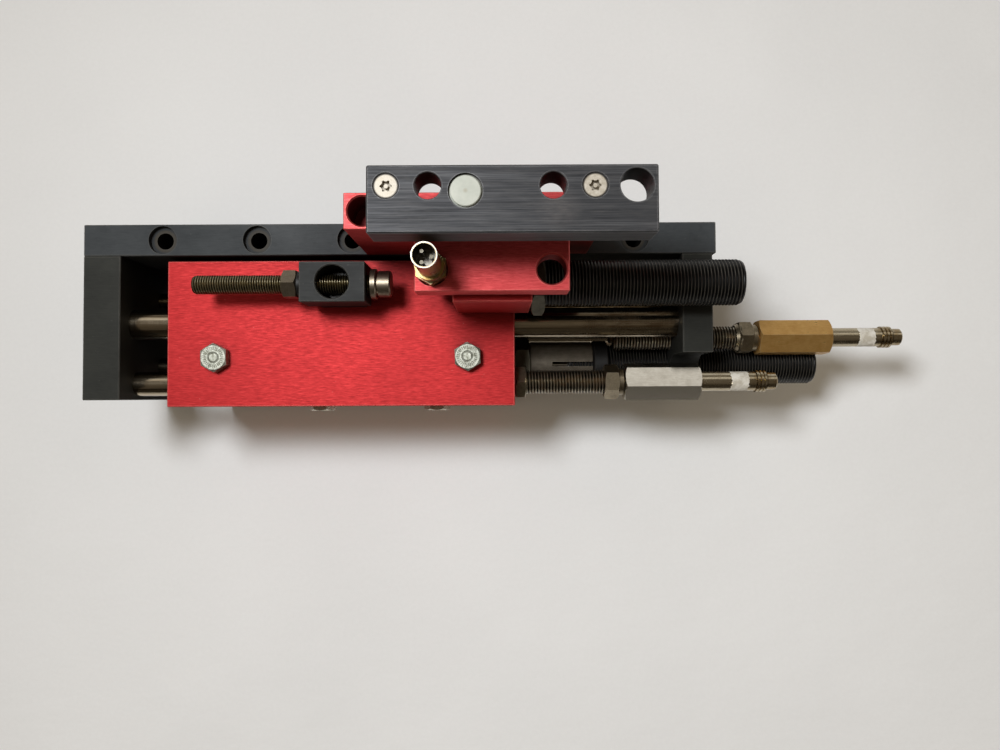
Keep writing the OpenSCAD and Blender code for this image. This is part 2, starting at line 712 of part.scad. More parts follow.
module plug_pins() {
    x = lift_x - sensor_hole_x;
    color(brass_tint) for (a = [0, 120, 240])
        translate([x + plug_pin_circle * cos(a), shelf_hole_y + plug_pin_circle * sin(a), lift_z1 + plug_rim_h - plug_depth])
            cylinder(h = 5.6, r = 0.5);
}

// ---- Carriage ----

bolt_x = [15.9, 96.2];   // bolts from the housing's left face
bolt_y = -37.5;
bolt_af = 8;
bolt_head_h = 3.5;
bolt_shank = 9;
fitting_x = [45.7, 85.1];    // fittings from the housing's left face
fitting_z = lower_tube_z - 7.5;
fitting_af = 8;
fitting_h = 1.6;
fitting_seat = 6;
wiper_r = 7;
ring_r = cylinder_bore_d / 2 + 0.6;

module housing() {
    color(red) difference() {
        chamfered_box([housing_x0, housing_front, housing_z0], [housing_x1, housing_back, housing_z1], edge_chamfer);
        for (z = guide_z) {
            bar_x(housing_x0 - cut, housing_x1 + cut, bushing_d / 2 + seat_play, -guide_y, z);
            for (x = [housing_x0, housing_x1]) bar_x(x - bushing_recess, x + bushing_recess, wiper_r + seat_play, -guide_y, z);
        }
        bar_x(housing_x0 - cut, housing_x1 + cut, cylinder_bore_d / 2, -piston_y, mid_z);
        for (x = [housing_x0 + cap_recess - ring_thick, housing_x1 - cap_recess])
            bar_x(x, x + ring_thick, ring_r + seat_play, -piston_y, mid_z);
        bar_x(housing_x0 - cut, lower_tube_x0 + 2, stop_rod_d / 2 + pass_play, -lower_tube_y, lower_tube_z);
        bar_x(lower_tube_x0, housing_x1 + cut, tube_d / 2 + seat_play, -lower_tube_y, lower_tube_z);
        bar_x(housing_x0 - cut, housing_x1 + cut, damper_rod_d / 2 + pass_play, -lower_absorber_y, absorber_z);
        bar_x(housing_x1 - neck_insert - 0.5, housing_x1 + cut, absorber_d / 2 + seat_play, -lower_absorber_y, absorber_z);
        for (x = bolt_x) bore_down(housing_x0 + x, bolt_y, housing_z1, bolt_shank + 1, m5[0] + seat_play, 0);
        for (x = fitting_x) translate([housing_x0 + x, housing_front - cut, fitting_z]) rotate([-90, 0, 0])
            cylinder(h = fitting_seat + cut, r = m5[0] + seat_play);
        translate([stop_block_x, stop_y, housing_z1 - 8.5]) cylinder(h = 9, r = m5[0] + seat_play);
    }
}

module guide_bushings() {
    color([0.55, 0.45, 0.30]) for (z = guide_z, x = [housing_x0 + bushing_recess + 0.1, housing_x1 - bushing_recess - 0.1 - bushing_len])
        difference() {
            bar_x(x, x + bushing_len, bushing_d / 2, -guide_y, z);
            bar_x(x - cut, x + bushing_len + cut, guide_rod_d / 2 + slide_play, -guide_y, z);
        }
}

module rod_wipers() {
    color([0.08, 0.08, 0.08]) for (z = guide_z, x = [housing_x0 + 0.2, housing_x1 - bushing_recess + 0.1]) difference() {
        bar_x(x, x + bushing_recess - 0.3, wiper_r, -guide_y, z);
        bar_x(x - cut, x + bushing_recess, guide_rod_d / 2 + slide_play, -guide_y, z);
    }
}

module cylinder_caps() {
    color(steel) for (x = [housing_x0 + cap_recess, housing_x1 - cap_recess - cylinder_cap_len]) difference() {
        bar_x(x, x + cylinder_cap_len, cylinder_bore_d / 2 - seat_play, -piston_y, mid_z);
        bar_x(x - cut, x + cylinder_cap_len + cut, piston_bolt_r + slide_play, -piston_y, mid_z);
    }
}

// Retaining rings, open at the top, in grooves outside the cylinder caps
module cap_rings() {
    gap = 40;
    color(steel) for (x = [housing_x0 + cap_recess - ring_thick, housing_x1 - cap_recess])
        translate([x + 0.05, -piston_y, mid_z]) rotate([0, 90, 0]) rotate([0, 0, 180 + gap / 2])
            rotate_extrude(angle = 360 - gap)
                translate([ring_r - 2.2, 0]) square([2.2, ring_thick - 0.1]);
}

module housing_bolts() {
    color(zinc) for (x = bolt_x) translate([housing_x0 + x, bolt_y, housing_z1]) {
        translate([0, 0, -bolt_shank]) cylinder(h = bolt_shank, r = m5[0]);
        intersection() {
            rotate(flat_up + 2) cylinder(h = bolt_head_h, r = bolt_af / sqrt(3), $fn = 6);
            rotate_extrude() polygon([
                [0, 0], [bolt_af, 0], [bolt_af, bolt_head_h - 2.4], [bolt_af / 2 - 0.2, bolt_head_h], [0, bolt_head_h]
            ]);
        }
    }
}

// Low hexagonal fittings in the lower side face, each with a bore for the air
module air_fittings() {
    r = fitting_af / sqrt(3);
    color(brass_tint) for (x = fitting_x) translate([housing_x0 + x, housing_front, fitting_z]) rotate([90, 0, 0])
        difference() {
            union() {
                translate([0, 0, -fitting_seat + 0.5]) cylinder(h = fitting_seat, r = m5[0]);
                intersection() {
                    cylinder(h = fitting_h, r = r, $fn = 6);
                    rotate_extrude() polygon([[0, 0], [r, 0], [r, fitting_h - 0.5], [r - 0.7, fitting_h], [0, fitting_h]]);
                }
            }
            translate([0, 0, -2]) cylinder(h = 5 + cut, r = 1.5);
        }
}

// Stop block: square head on a narrower foot, with a cross bore for its clamp screw
module stop_block() {
    foot = [stop_block_len - 5.2, stop_block_side - 1];
    color(black) difference() {
        union() {
            chamfered_box([stop_block_x0, stop_y - stop_block_side / 2, stop_block_z0],
                [stop_block_x1, stop_y + stop_block_side / 2, stop_z + stop_block_side / 2], edge_chamfer);
            translate([stop_block_x - foot[0] / 2, stop_y - foot[1] / 2, housing_z1])
                cube([foot[0], foot[1], stop_block_z0 - housing_z1 + 1]);
        }
        bore_down(stop_block_x, stop_y, stop_z + stop_block_side / 2, stop_z + stop_block_side / 2 - clamp_seat_z,
            cross_bore_d / 2, 0.3);
        translate([stop_block_x, stop_y, housing_z1 - cut]) cylinder(h = stop_block_side, r = m5[0] + seat_play);
        bar_x(stop_block_x0 - cut, stop_block_x1 + cut, stop_screw_d / 2 + seat_play, stop_y, stop_z);
    }
}

module stop_block_screw() {
    head = [m5[0], m5[1], clamp_head_h];
    color(zinc) translate([stop_block_x, stop_y, clamp_seat_z]) socket_screw(head, clamp_seat_z - housing_z1 + 8);
}

module stop_screw() {
    color(nickel) chamfered_bar_x(stop_cap_x1 - stop_screw_len, stop_cap_x0 + 3, stop_screw_d / 2, stop_y, stop_z, 0.6);
}

module stop_screw_nut() {
    x1 = stop_block_x0 - washer_len - 0.4;
    color(nickel) difference() {
        hex_x(x1 - stop_nut_len, x1, stop_nut_af, stop_y, stop_z, 0, 0.5);
        bar_x(x1 - stop_nut_len - cut, x1 + cut, stop_screw_d / 2 + seat_play, stop_y, stop_z);
    }
}

module stop_washer() {
    x1 = stop_block_x0 - 0.2;
    color([0.2, 0.2, 0.2]) difference() {
        bar_x(x1 - washer_len, x1, stop_nut_af / 2 - 0.1, stop_y, stop_z);
        bar_x(x1 - washer_len - cut, x1 + cut, stop_screw_d / 2 + seat_play, stop_y, stop_z);
    }
}

// Turned cap on the stop screw's tip: a collar, a groove and a hardened face
module stop_cap() {
    collar = 4.6;
    face = 4;
    color(nickel) translate([stop_cap_x0, stop_y, stop_z]) rotate([0, 90, 0]) difference() {
        rotate_extrude() polygon([
            [0, 0], [collar - 0.3, 0], [collar, 0.3], [collar, 1.6], [collar - 0.3, 1.9], [face - 0.6, 1.9],
            [face - 0.6, 2.3], [face, 2.5], [face, stop_cap_len - 0.4], [face - 0.4, stop_cap_len], [0, stop_cap_len]
        ]);
        translate([0, 0, -cut]) cylinder(h = 3.2 + cut, r = stop_screw_d / 2 + seat_play);
    }
}

module lower_stop_tube() {
    color(nickel) stop_tube(lower_tube_x0 + 1.6, lower_sleeve_x + tube_grip - 0.2, -lower_tube_y, lower_tube_z);
}

lower_turn = 15;

module lower_stop_nuts() {
    color(nickel) difference() {
        union() {
            hex_x(lower_jam_x, lower_jam_x + lower_jam_len, tube_nut_af, -lower_tube_y, lower_tube_z);
            hex_x(lower_lock_x, lower_lock_x + lower_lock_len, tube_nut_af, -lower_tube_y, lower_tube_z, flat_up);
            chamfered_bar_x(lower_lock_x + lower_lock_len - 0.4, lower_sleeve_x - 0.2, tube_d / 2 + 0.4,
                -lower_tube_y, lower_tube_z, 0.3);
        }
        bar_x(housing_x1, lower_sleeve_x, tube_d / 2 + seat_play, -lower_tube_y, lower_tube_z);
    }
}

module lower_stop_sleeve() {
    color(nickel) hex_sleeve(lower_sleeve_x, lower_sleeve_x1, -lower_tube_y, lower_tube_z, lower_turn);
}

module lower_sensor() {
    x0 = lower_sleeve_x + tube_grip + 0.2;
    color(nickel) sensor_body(x0, lower_sensor_x1 - sensor_end_len, -lower_tube_y, lower_tube_z);
}

module lower_sensor_end() {
    color(nickel) sensor_end(lower_sensor_x1 - sensor_end_len, -lower_tube_y, lower_tube_z);
}

// Adapter: threaded neck in the housing, and a slotted sleeve that clamps the absorber
module lower_adapter() {
    slot_len = adapter_len - 7.5;
    slot_w = 1.6;
    color(steel) difference() {
        union() {
            bar_x(housing_x1 - neck_insert, adapter_x0 + 1, absorber_d / 2, -lower_absorber_y, absorber_z);
            chamfered_bar_x(adapter_x0, adapter_x1, adapter_d / 2, -lower_absorber_y, absorber_z, 0.3);
        }
        bar_x(housing_x1 - neck_insert - cut, lower_absorber_x0 - 5, neck_bore_r, -lower_absorber_y, absorber_z);
        bar_x(lower_plunger_tip - 3, lower_absorber_x0 + cut, absorber_d / 2 - 2, -lower_absorber_y, absorber_z);
        bar_x(lower_absorber_x0 - 0.2, adapter_x1 + cut, absorber_d / 2 + seat_play, -lower_absorber_y, absorber_z);
        translate([adapter_x1 - slot_len, -lower_absorber_y - slot_w / 2, absorber_z])
            cube([slot_len + cut, slot_w, adapter_d]);
    }
}

// Black ring on the absorber's thread, against the adapter sleeve's end
module clamp_ring() {
    color(thread_black) difference() {
        chamfered_bar_x(adapter_x1 + 0.2, adapter_x1 + clamp_ring_len, clamp_ring_d / 2, -lower_absorber_y, absorber_z, 0.5);
        bar_x(adapter_x1, adapter_x1 + clamp_ring_len + cut, absorber_d / 2 + seat_play, -lower_absorber_y, absorber_z);
    }
}

module lower_absorber_nut() {
    color(nickel) absorber_nut(lower_nut_x, lower_nut_len - 0.2, -lower_absorber_y, absorber_z);
}

module lower_absorber() {
    color(thread_black) absorber_body(lower_absorber_x0, -lower_absorber_y, absorber_z);
}

module lower_plunger() {
    color(steel) absorber_plunger(lower_plunger_tip, lower_absorber_x0, -lower_absorber_y, absorber_z);
}

// ---- Lift bar ----

insert_place = [-6, -1.2];
insert_h = 3;
shaft_thread_r = 1.5;
shaft_thread_h = 5;
sink_r = 2.9;
sink_h = 1.8;
sink_drop = 0.35;        // how far the screw heads lie below the lift bar's top
bar_chamfer = 0.4;
socket_h = 1.4;
socket_r = 1.15;
lobe_r = 0.33;
bar_screw_len = 18;

module lift_bar() {
    bar_y0 = plate_thick / 2 - lift_bar_width;
    color(black) difference() {
        chamfered_box([bar_x0, bar_y0, bar_z0], [bar_x0 + lift_plate_len, plate_thick / 2, bar_z1], bar_chamfer);
        for (s = [-1, 1]) {
            bore_down(lift_x + s * hole_pitch / 2, 0, bar_z1, lift_bar_h + cut, bar_hole_d / 2, 0.2);
            translate([lift_x + s * lift_rod_pitch / 2, 0, bar_z0 - cut]) cylinder(h = lift_bar_h, r = m3[0] + seat_play);
            translate([lift_x + s * lift_rod_pitch / 2, 0, bar_z1 - sink_drop - sink_h])
                cylinder(h = sink_h, r1 = m3[0] + seat_play, r2 = sink_r + seat_play);
            translate([lift_x + s * lift_rod_pitch / 2, 0, bar_z1 - sink_drop - 0.01])
                cylinder(h = sink_drop + 0.02, r1 = sink_r + seat_play, r2 = sink_r + sink_drop);
        }
        bore_down(lift_x + end_hole_x, 0, bar_z1, lift_bar_h + cut, sensor_hole_d / 2, 0.2);
        translate([lift_x + insert_place[0], insert_place[1], bar_z1 - insert_h]) cylinder(h = insert_h + cut, r = insert_d / 2 + seat_play);
        translate([lift_x, 0, bar_z0 - cut]) cylinder(h = shaft_thread_h + 0.3 + cut, r = shaft_thread_r + seat_play);
    }
}

module lift_rods() {
    color(steel) for (s = [-1, 1]) translate([lift_x + s * lift_rod_pitch / 2, 0, 0]) difference() {
        translate([0, 0, lift_rod_z0]) cylinder(h = bar_z0 - lift_rod_z0, r = lift_rod_d / 2);
        translate([0, 0, bar_z1 - bar_screw_len - 1]) cylinder(h = bar_screw_len, r = m3[0] + seat_play);
    }
}

// Turned piston of the lift: piston, shaft and the thread that holds it in the lift bar
module lift_piston() {
    color(steel) translate([lift_x, 0, 0]) {
        translate([0, 0, lift_piston_z0]) cylinder(h = lift_piston_h, r = lift_bore_r - slide_play);
        translate([0, 0, lift_piston_z0 + lift_piston_h - 1]) cylinder(h = bar_z0 - lift_piston_z0 - lift_piston_h + 1, r = lift_shaft_r);
        translate([0, 0, bar_z0 - 1]) cylinder(h = shaft_thread_h + 1, r = shaft_thread_r);
    }
}

// Countersunk screws with a six-lobed socket and a pin in the socket's middle
module lift_bar_screws() {
    color(zinc) for (s = [-1, 1]) translate([lift_x + s * lift_rod_pitch / 2, 0, bar_z1 - sink_drop]) {
        difference() {
            union() {
                translate([0, 0, -sink_h]) cylinder(h = sink_h, r1 = m3[0], r2 = sink_r);
                translate([0, 0, -bar_screw_len]) cylinder(h = bar_screw_len - sink_h + 0.01, r = m3[0]);
            }
            translate([0, 0, -socket_h]) cylinder(h = socket_h + cut, r = socket_r);
            for (a = [0 : 60 : 300]) translate([socket_r * cos(a), socket_r * sin(a), -socket_h])
                cylinder(h = socket_h + cut, r = lobe_r);
        }
        translate([0, 0, -socket_h - 0.2]) cylinder(h = socket_h, r = 0.5);
    }
}

module lift_bar_insert() {
    r = insert_d / 2;
    groove = 0.45;
    color([0.86, 0.88, 0.84]) translate([lift_x + insert_place[0], insert_place[1], bar_z1 - insert_h]) rotate_extrude()
        polygon([
            [0, 0], [r, 0], [r, insert_h - 1], [r - groove, insert_h - 1], [r - groove, insert_h - 0.3],
            [r - groove - 0.2, insert_h - 0.1], [0, insert_h - 0.1]
        ]);
}

base_plate();
left_end_plate();
right_end_plate();
end_plate_screws();
guide_rods();
guide_rod_screws();
piston_rod();
piston();
piston_seal();
stop_rod();
damper_rod();
upper_stop_tube();
upper_stop_nut();
upper_stop_sleeve();
upper_sensor();
upper_sensor_end();
lift_body();
lift_body_screws();
absorber_block();
absorber_block_screws();
upper_absorber();
upper_absorber_nut();
upper_plunger();
plug_sensor();
plug_pins();
lift_cylinder_plug();
housing();
guide_bushings();
rod_wipers();
cylinder_caps();
cap_rings();
housing_bolts();
air_fittings();
stop_block();
stop_block_screw();
stop_screw();
stop_screw_nut();
stop_washer();
stop_cap();
lower_stop_tube();
lower_stop_nuts();
lower_stop_sleeve();
lower_sensor();
lower_sensor_end();
lower_adapter();
clamp_ring();
lower_absorber_nut();
lower_absorber();
lower_plunger();
lift_bar();
lift_rods();
lift_piston();
lift_bar_screws();
lift_bar_insert();
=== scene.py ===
"""Looks of the pneumatic slide table: camera, light, floor, materials and the threads."""

import math

import bpy
from mathutils import Matrix, Vector


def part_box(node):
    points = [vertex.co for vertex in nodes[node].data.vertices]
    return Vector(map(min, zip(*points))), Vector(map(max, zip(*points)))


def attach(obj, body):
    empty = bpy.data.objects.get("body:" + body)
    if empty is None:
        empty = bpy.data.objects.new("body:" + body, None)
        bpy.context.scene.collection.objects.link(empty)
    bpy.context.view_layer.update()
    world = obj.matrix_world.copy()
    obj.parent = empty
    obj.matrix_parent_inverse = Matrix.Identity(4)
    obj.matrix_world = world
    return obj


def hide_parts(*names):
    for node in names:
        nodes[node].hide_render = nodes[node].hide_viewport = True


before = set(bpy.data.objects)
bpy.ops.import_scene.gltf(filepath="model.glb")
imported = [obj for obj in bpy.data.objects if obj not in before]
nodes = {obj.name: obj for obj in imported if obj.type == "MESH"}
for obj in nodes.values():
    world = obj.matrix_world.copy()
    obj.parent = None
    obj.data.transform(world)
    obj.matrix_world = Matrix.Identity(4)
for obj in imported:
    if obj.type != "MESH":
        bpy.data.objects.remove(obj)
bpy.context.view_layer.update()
MM = 0.001


# ---------------------------------------------------------------- camera
CAMERA_PLACE = Vector((32.0, -50.3, 297.5)) * MM  # over the object, which it looks down on
CAMERA_TILT = math.radians(1.655)
CAMERA_ROLL = -0.005
CAMERA_SENSOR = 36.0
CAMERA_LENS = 27.04


def make_camera():
    data = bpy.data.cameras.new("camera")
    data.sensor_width = CAMERA_SENSOR
    data.lens = CAMERA_LENS
    data.clip_start = 0.01
    camera = bpy.data.objects.new("camera", data)
    bpy.context.scene.collection.objects.link(camera)
    tilt = Matrix.Rotation(CAMERA_TILT, 4, "X")
    roll = Matrix.Rotation(CAMERA_ROLL, 4, "Z")
    camera.matrix_world = Matrix.Translation(CAMERA_PLACE) @ roll @ tilt
    bpy.context.scene.camera = camera
    bpy.context.scene.view_settings.view_transform = "Standard"


# ---------------------------------------------------------------- nodes of a material
def fill_ramp(ramp, stops):
    """stops holds (position, colour) from 0 to 1."""
    elements = ramp.color_ramp.elements
    while len(elements) < len(stops):
        elements.new(0.5)
    for element, (position, colour) in zip(elements, stops):
        element.position = position
        element.color = (*colour, 1)


class Mat:
    """A material with small helpers for its nodes. Coordinates are the part's own, in metres."""

    def __init__(self, name):
        self.mat = bpy.data.materials.new(name)
        self.mat.use_nodes = True
        self.nt = self.mat.node_tree
        self.bsdf = self.nt.nodes["Principled BSDF"]
        self.coords = self.nt.nodes.new("ShaderNodeTexCoord").outputs["Object"]

    def put(self, **sockets):
        for name, value in sockets.items():
            self.bsdf.inputs[name.replace("_", " ")].default_value = value

    def scaled(self, scale, offset=(0, 0, 0)):
        m = self.nt.nodes.new("ShaderNodeMapping")
        m.inputs["Scale"].default_value = scale
        m.inputs["Location"].default_value = offset
        self.nt.links.new(self.coords, m.inputs["Vector"])
        return m.outputs["Vector"]

    def noise(self, scale, detail=4.0, rough=0.6, offset=(0, 0, 0)):
        n = self.nt.nodes.new("ShaderNodeTexNoise")
        n.inputs["Scale"].default_value = 1.0
        n.inputs["Detail"].default_value = detail
        n.inputs["Roughness"].default_value = rough
        self.nt.links.new(self.scaled(scale, offset), n.inputs["Vector"])
        return n.outputs["Fac"]

    def ramp(self, fac, stops):
        r = self.nt.nodes.new("ShaderNodeValToRGB")
        fill_ramp(r, stops)
        self.nt.links.new(fac, r.inputs["Fac"])
        return r.outputs["Color"]

    def remap(self, fac, a, b, lo, hi):
        """lo where fac is a or before it, hi where it is b or past it, and a straight run between."""
        m = self.nt.nodes.new("ShaderNodeMapRange")
        for k, v in (("From Min", a), ("From Max", b), ("To Min", lo), ("To Max", hi)):
            m.inputs[k].default_value = v
        self.nt.links.new(fac, m.inputs["Value"])
        return m.outputs["Result"]

    def mix(self, fac, a, b):
        """Colour a where fac is 0 and colour b where it is 1."""
        m = self.nt.nodes.new("ShaderNodeMix")
        m.data_type = "RGBA"
        self.nt.links.new(fac, m.inputs[0])
        for socket, v in ((m.inputs[6], a), (m.inputs[7], b)):
            if isinstance(v, tuple):
                socket.default_value = (*v, 1)
            else:
                self.nt.links.new(v, socket)
        return m.outputs[2]

    def math(self, op, *values):
        m = self.nt.nodes.new("ShaderNodeMath")
        m.operation = op
        for socket, v in zip(m.inputs, values):
            if isinstance(v, (int, float)):
                socket.default_value = v
            else:
                self.nt.links.new(v, socket)
        return m.outputs[0]

    def add(self, a, b):
        return self.math("ADD", a, b)

    def minus(self, a, b):
        return self.math("SUBTRACT", a, b)

    def times(self, a, b):
        return self.math("MULTIPLY", a, b)

    def over(self, a, b):
        return self.math("GREATER_THAN", a, b)

    def under(self, a, b):
        return self.math("LESS_THAN", a, b)

    def length(self, a, b):
        return self.math("SQRT", self.add(self.times(a, a), self.times(b, b)))

    def axis(self, name):
        s = self.nt.nodes.new("ShaderNodeSeparateXYZ")
        self.nt.links.new(self.coords, s.inputs[0])
        return s.outputs[name]

    def bump(self, height, distance, strength):
        b = self.nt.nodes.new("ShaderNodeBump")
        b.inputs["Distance"].default_value = distance
        b.inputs["Strength"].default_value = strength
        self.nt.links.new(height, b.inputs["Height"])
        return b.outputs["Normal"]

    def link(self, out, name):
        self.nt.links.new(out, self.bsdf.inputs[name])

    def radius(self, y, z, axes="YZ"):
        """Distance in metres from a line through the point (y, z) of the plane of the two named axes."""
        return self.length(self.minus(self.axis(axes[0]), y), self.minus(self.axis(axes[1]), z))

    def edge(self, reach):
        """1 near a corner of the solid and 0 on its flat faces, where the rounded and the true face agree."""
        b = self.nt.nodes.new("ShaderNodeBevel")
        b.samples = 4
        b.inputs["Radius"].default_value = reach
        g = self.nt.nodes.new("ShaderNodeNewGeometry")
        d = self.nt.nodes.new("ShaderNodeVectorMath")
        d.operation = "DOT_PRODUCT"
        self.nt.links.new(b.outputs["Normal"], d.inputs[0])
        self.nt.links.new(g.outputs["Normal"], d.inputs[1])
        return self.remap(d.outputs["Value"], 0.992, 0.90, 0.0, 1.0)

    def between(self, r, inner, outer):
        """1 between two radii and 0 past them, with soft rims."""
        soft = 0.0002
        return self.times(
            self.remap(r, inner, inner + soft, 0.0, 1.0), self.remap(r, outer, outer - soft, 0.0, 1.0)
        )

    def painted_shade(self, colour, reach, amount, tint):
        """Painted shade: what lies deep between other parts darkens towards tint."""
        a = self.nt.nodes.new("ShaderNodeAmbientOcclusion")
        a.samples = 6
        a.inputs["Distance"].default_value = reach
        return self.mix(self.remap(a.outputs["AO"], 0.75, 0.15, 0.0, amount), colour, tint)


# ---------------------------------------------------------------- materials, with places in metres
HOLE_PITCH = 0.030  # of the base plate's hole row
HOLES = 6
HOLE_FIRST_X = -(HOLES - 1) / 2 * HOLE_PITCH
PLATE_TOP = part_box("base_plate")[1].z
SCUFF = (0.0463, -0.0055)  # where the lift bar is scratched, beside its right hole
BOLT_REACH = 0.004078  # from a hex bolt's axis to the end of its head along X
BOLT_RING = (0.0012, 0.0019)  # inner and outer radius of the ring pressed into a head
BOLT_BAND = (0.0022, 0.0034)  # and of the strokes round it
BOLT_STROKES = 30
BAR_SCREW_R = 0.0029  # heads of the lift bar's screws
PLUG_BORE_R = 0.00285


def srgb(r, g, b):
    """The linear colour of a picture's red, green and blue from 0 to 255."""

    def lin(v):
        v /= 255
        return v / 12.92 if v <= 0.04045 else ((v + 0.055) / 1.055) ** 2.4

    return lin(r), lin(g), lin(b)


def red_anodised(name, dark, mid, light, metallic, rough):
    """Brushed along X, pale at the corners as wear and as a painted edge highlight, and with painted shade
    deep between other parts.
    """
    m = Mat(name)
    short = m.noise((500, 4300, 4300), 2, 0.6)
    fine = m.noise((290, 2700, 2700), 3, 0.6, (3, 7, 1))
    cloud = m.noise((50, 80, 80), 4, 0.6, (11, 2, 5))
    tone = m.add(m.times(short, 0.6), m.times(fine, 0.4))
    colour = m.ramp(tone, [(0.36, dark), (0.5, mid), (0.64, light)])
    colour = m.mix(m.remap(cloud, 0.35, 0.7, 0.0, 0.35), colour, dark)
    # Corners: rubbed pale, which also serves as a painted edge highlight.
    wear_and_edge_highlight = m.times(m.edge(0.00045), m.remap(cloud, 0.3, 0.6, 0.5, 0.95))
    colour = m.mix(wear_and_edge_highlight, colour, srgb(240, 130, 122))
    specks = m.noise((1100, 1100, 1100), 1, 0.5, (8, 8, 2))
    colour = m.mix(m.remap(specks, 0.78, 0.82, 0.0, 0.15), colour, srgb(222, 170, 160))
    # Painted shade deep between other parts.
    colour = m.painted_shade(colour, 0.03, 0.8, srgb(40, 6, 6))
    m.link(colour, "Base Color")
    m.put(Metallic=metallic, Specular_IOR_Level=0.3)
    m.link(m.remap(tone, 0.3, 0.7, rough + 0.05, rough - 0.05), "Roughness")
    m.link(m.bump(short, 0.00002, 0.4), "Normal")
    return m.mat


def black_anodised(name, dark, light, wear, holes=False):
    """Black with a faint grain and specks. holes also rubs the floors of the base plate's recesses."""
    m = Mat(name)
    fine = m.noise((260, 2600, 2600), 3, 0.7)
    cloud = m.noise((36, 60, 60), 4, 0.65, (4, 1, 9))
    blot = m.noise((420, 420, 420), 3, 0.6, (9, 9, 1))
    tone = m.add(m.times(fine, 0.35), m.times(cloud, 0.65))
    colour = m.ramp(tone, [(0.34, dark), (0.66, light)])
    colour = m.mix(m.remap(blot, 0.56, 0.72, 0.0, 0.45), colour, dark)
    specks = m.noise((1400, 1400, 1400), 1, 0.5, (8, 8, 2))
    colour = m.mix(m.remap(specks, 0.73, 0.77, 0.0, wear), colour, srgb(128, 126, 120))
    # Corners: rubbed light, which also serves as a painted edge highlight.
    wear_and_edge_highlight = m.times(m.edge(0.0004), m.remap(cloud, 0.35, 0.62, 0.3, 0.9))
    colour = m.mix(wear_and_edge_highlight, colour, srgb(112, 111, 106))
    if holes:
        along = m.math("WRAP", m.minus(m.axis("X"), HOLE_FIRST_X), HOLE_PITCH / 2, -HOLE_PITCH / 2)
        near = m.length(along, m.axis("Y"))
        sunk = m.remap(m.axis("Z"), PLATE_TOP - 0.0004, PLATE_TOP - 0.001, 0.0, 1.0)
        seat = m.times(m.remap(near, 0.0038, 0.0034, 0.0, 1.0), sunk)
        colour = m.mix(m.times(seat, 0.6), colour, srgb(80, 72, 58))
    # Painted shade deep between other parts, nearly black.
    colour = m.painted_shade(colour, 0.035, 0.95, srgb(10, 9, 8))
    m.link(colour, "Base Color")
    m.put(Specular_IOR_Level=0.2)
    m.link(m.remap(tone, 0.3, 0.7, 0.6, 0.48), "Roughness")
    m.link(m.bump(fine, 0.000015, 0.35), "Normal")
    return m.mat


def lift_bar_grey():
    """Brushed along X so that the strokes show, with rubbed patches and one scuff."""
    m = Mat("lift_bar_grey")
    lines = m.noise((30, 3000, 3000), 3, 0.9)
    wide = m.noise((34, 700, 700), 3, 0.6, (2, 5, 5))
    tone = m.add(m.times(lines, 0.7), m.times(wide, 0.3))
    colour = m.ramp(tone, [(0.34, srgb(50, 51, 54)), (0.5, srgb(71, 72, 75)), (0.66, srgb(97, 98, 101))])
    rub = m.noise((160, 900, 900), 4, 0.7, (1, 3, 3))
    colour = m.mix(m.remap(rub, 0.45, 0.90, 0.0, 0.3), colour, srgb(118, 116, 114))
    patch = m.remap(m.radius(*SCUFF, "XY"), 0.006, 0.0015, 0.0, 0.22)
    scuff = m.times(patch, m.remap(m.noise((500, 2600, 2600), 3, 0.7), 0.3, 0.7, 0.2, 1.0))
    colour = m.mix(scuff, colour, srgb(150, 142, 138))
    # Corners: rubbed light, which also serves as a painted edge highlight.
    wear_and_edge_highlight = m.times(m.edge(0.0004), m.remap(rub, 0.35, 0.6, 0.35, 0.9))
    colour = m.mix(wear_and_edge_highlight, colour, srgb(150, 150, 152))
    # Painted shade deep between other parts.
    colour = m.painted_shade(colour, 0.03, 0.85, srgb(16, 12, 11))
    m.link(colour, "Base Color")
    m.put(Metallic=0.5, Specular_IOR_Level=0.2)
    m.link(m.remap(tone, 0.3, 0.7, 0.6, 0.46), "Roughness")
    m.link(m.bump(lines, 0.00002, 0.4), "Normal")
    return m.mat


def polished_rod(name, light, dark, stain, stain_from, stain_amount):
    """Ground round a rod along X. Old oil stains it from stain_from onward."""
    m = Mat(name)
    lines = m.noise((10, 1500, 1500), 2, 0.6)
    blotch = m.noise((110, 420, 420), 5, 0.7, (5, 0, 2))
    along = m.remap(m.axis("X"), stain_from, stain_from + 0.02, 0.25, 1.0)
    dirt = m.times(m.remap(blotch, 0.44, 0.60, 0.0, stain_amount), along)
    colour = m.mix(m.remap(lines, 0.35, 0.65, 0.0, 1.0), dark, light)
    # Oil stain, then painted shade deep between other parts.
    colour = m.painted_shade(m.mix(dirt, colour, stain), 0.02, 0.5, srgb(30, 24, 16))
    m.link(colour, "Base Color")
    m.put(Metallic=1.0)
    rings = m.noise((7000, 60, 60), 2, 0.6)
    m.link(m.add(m.remap(rings, 0.3, 0.7, 0.12, 0.19), m.times(dirt, 0.25)), "Roughness")
    m.link(m.bump(rings, 0.000004, 0.4), "Normal")
    return m.mat


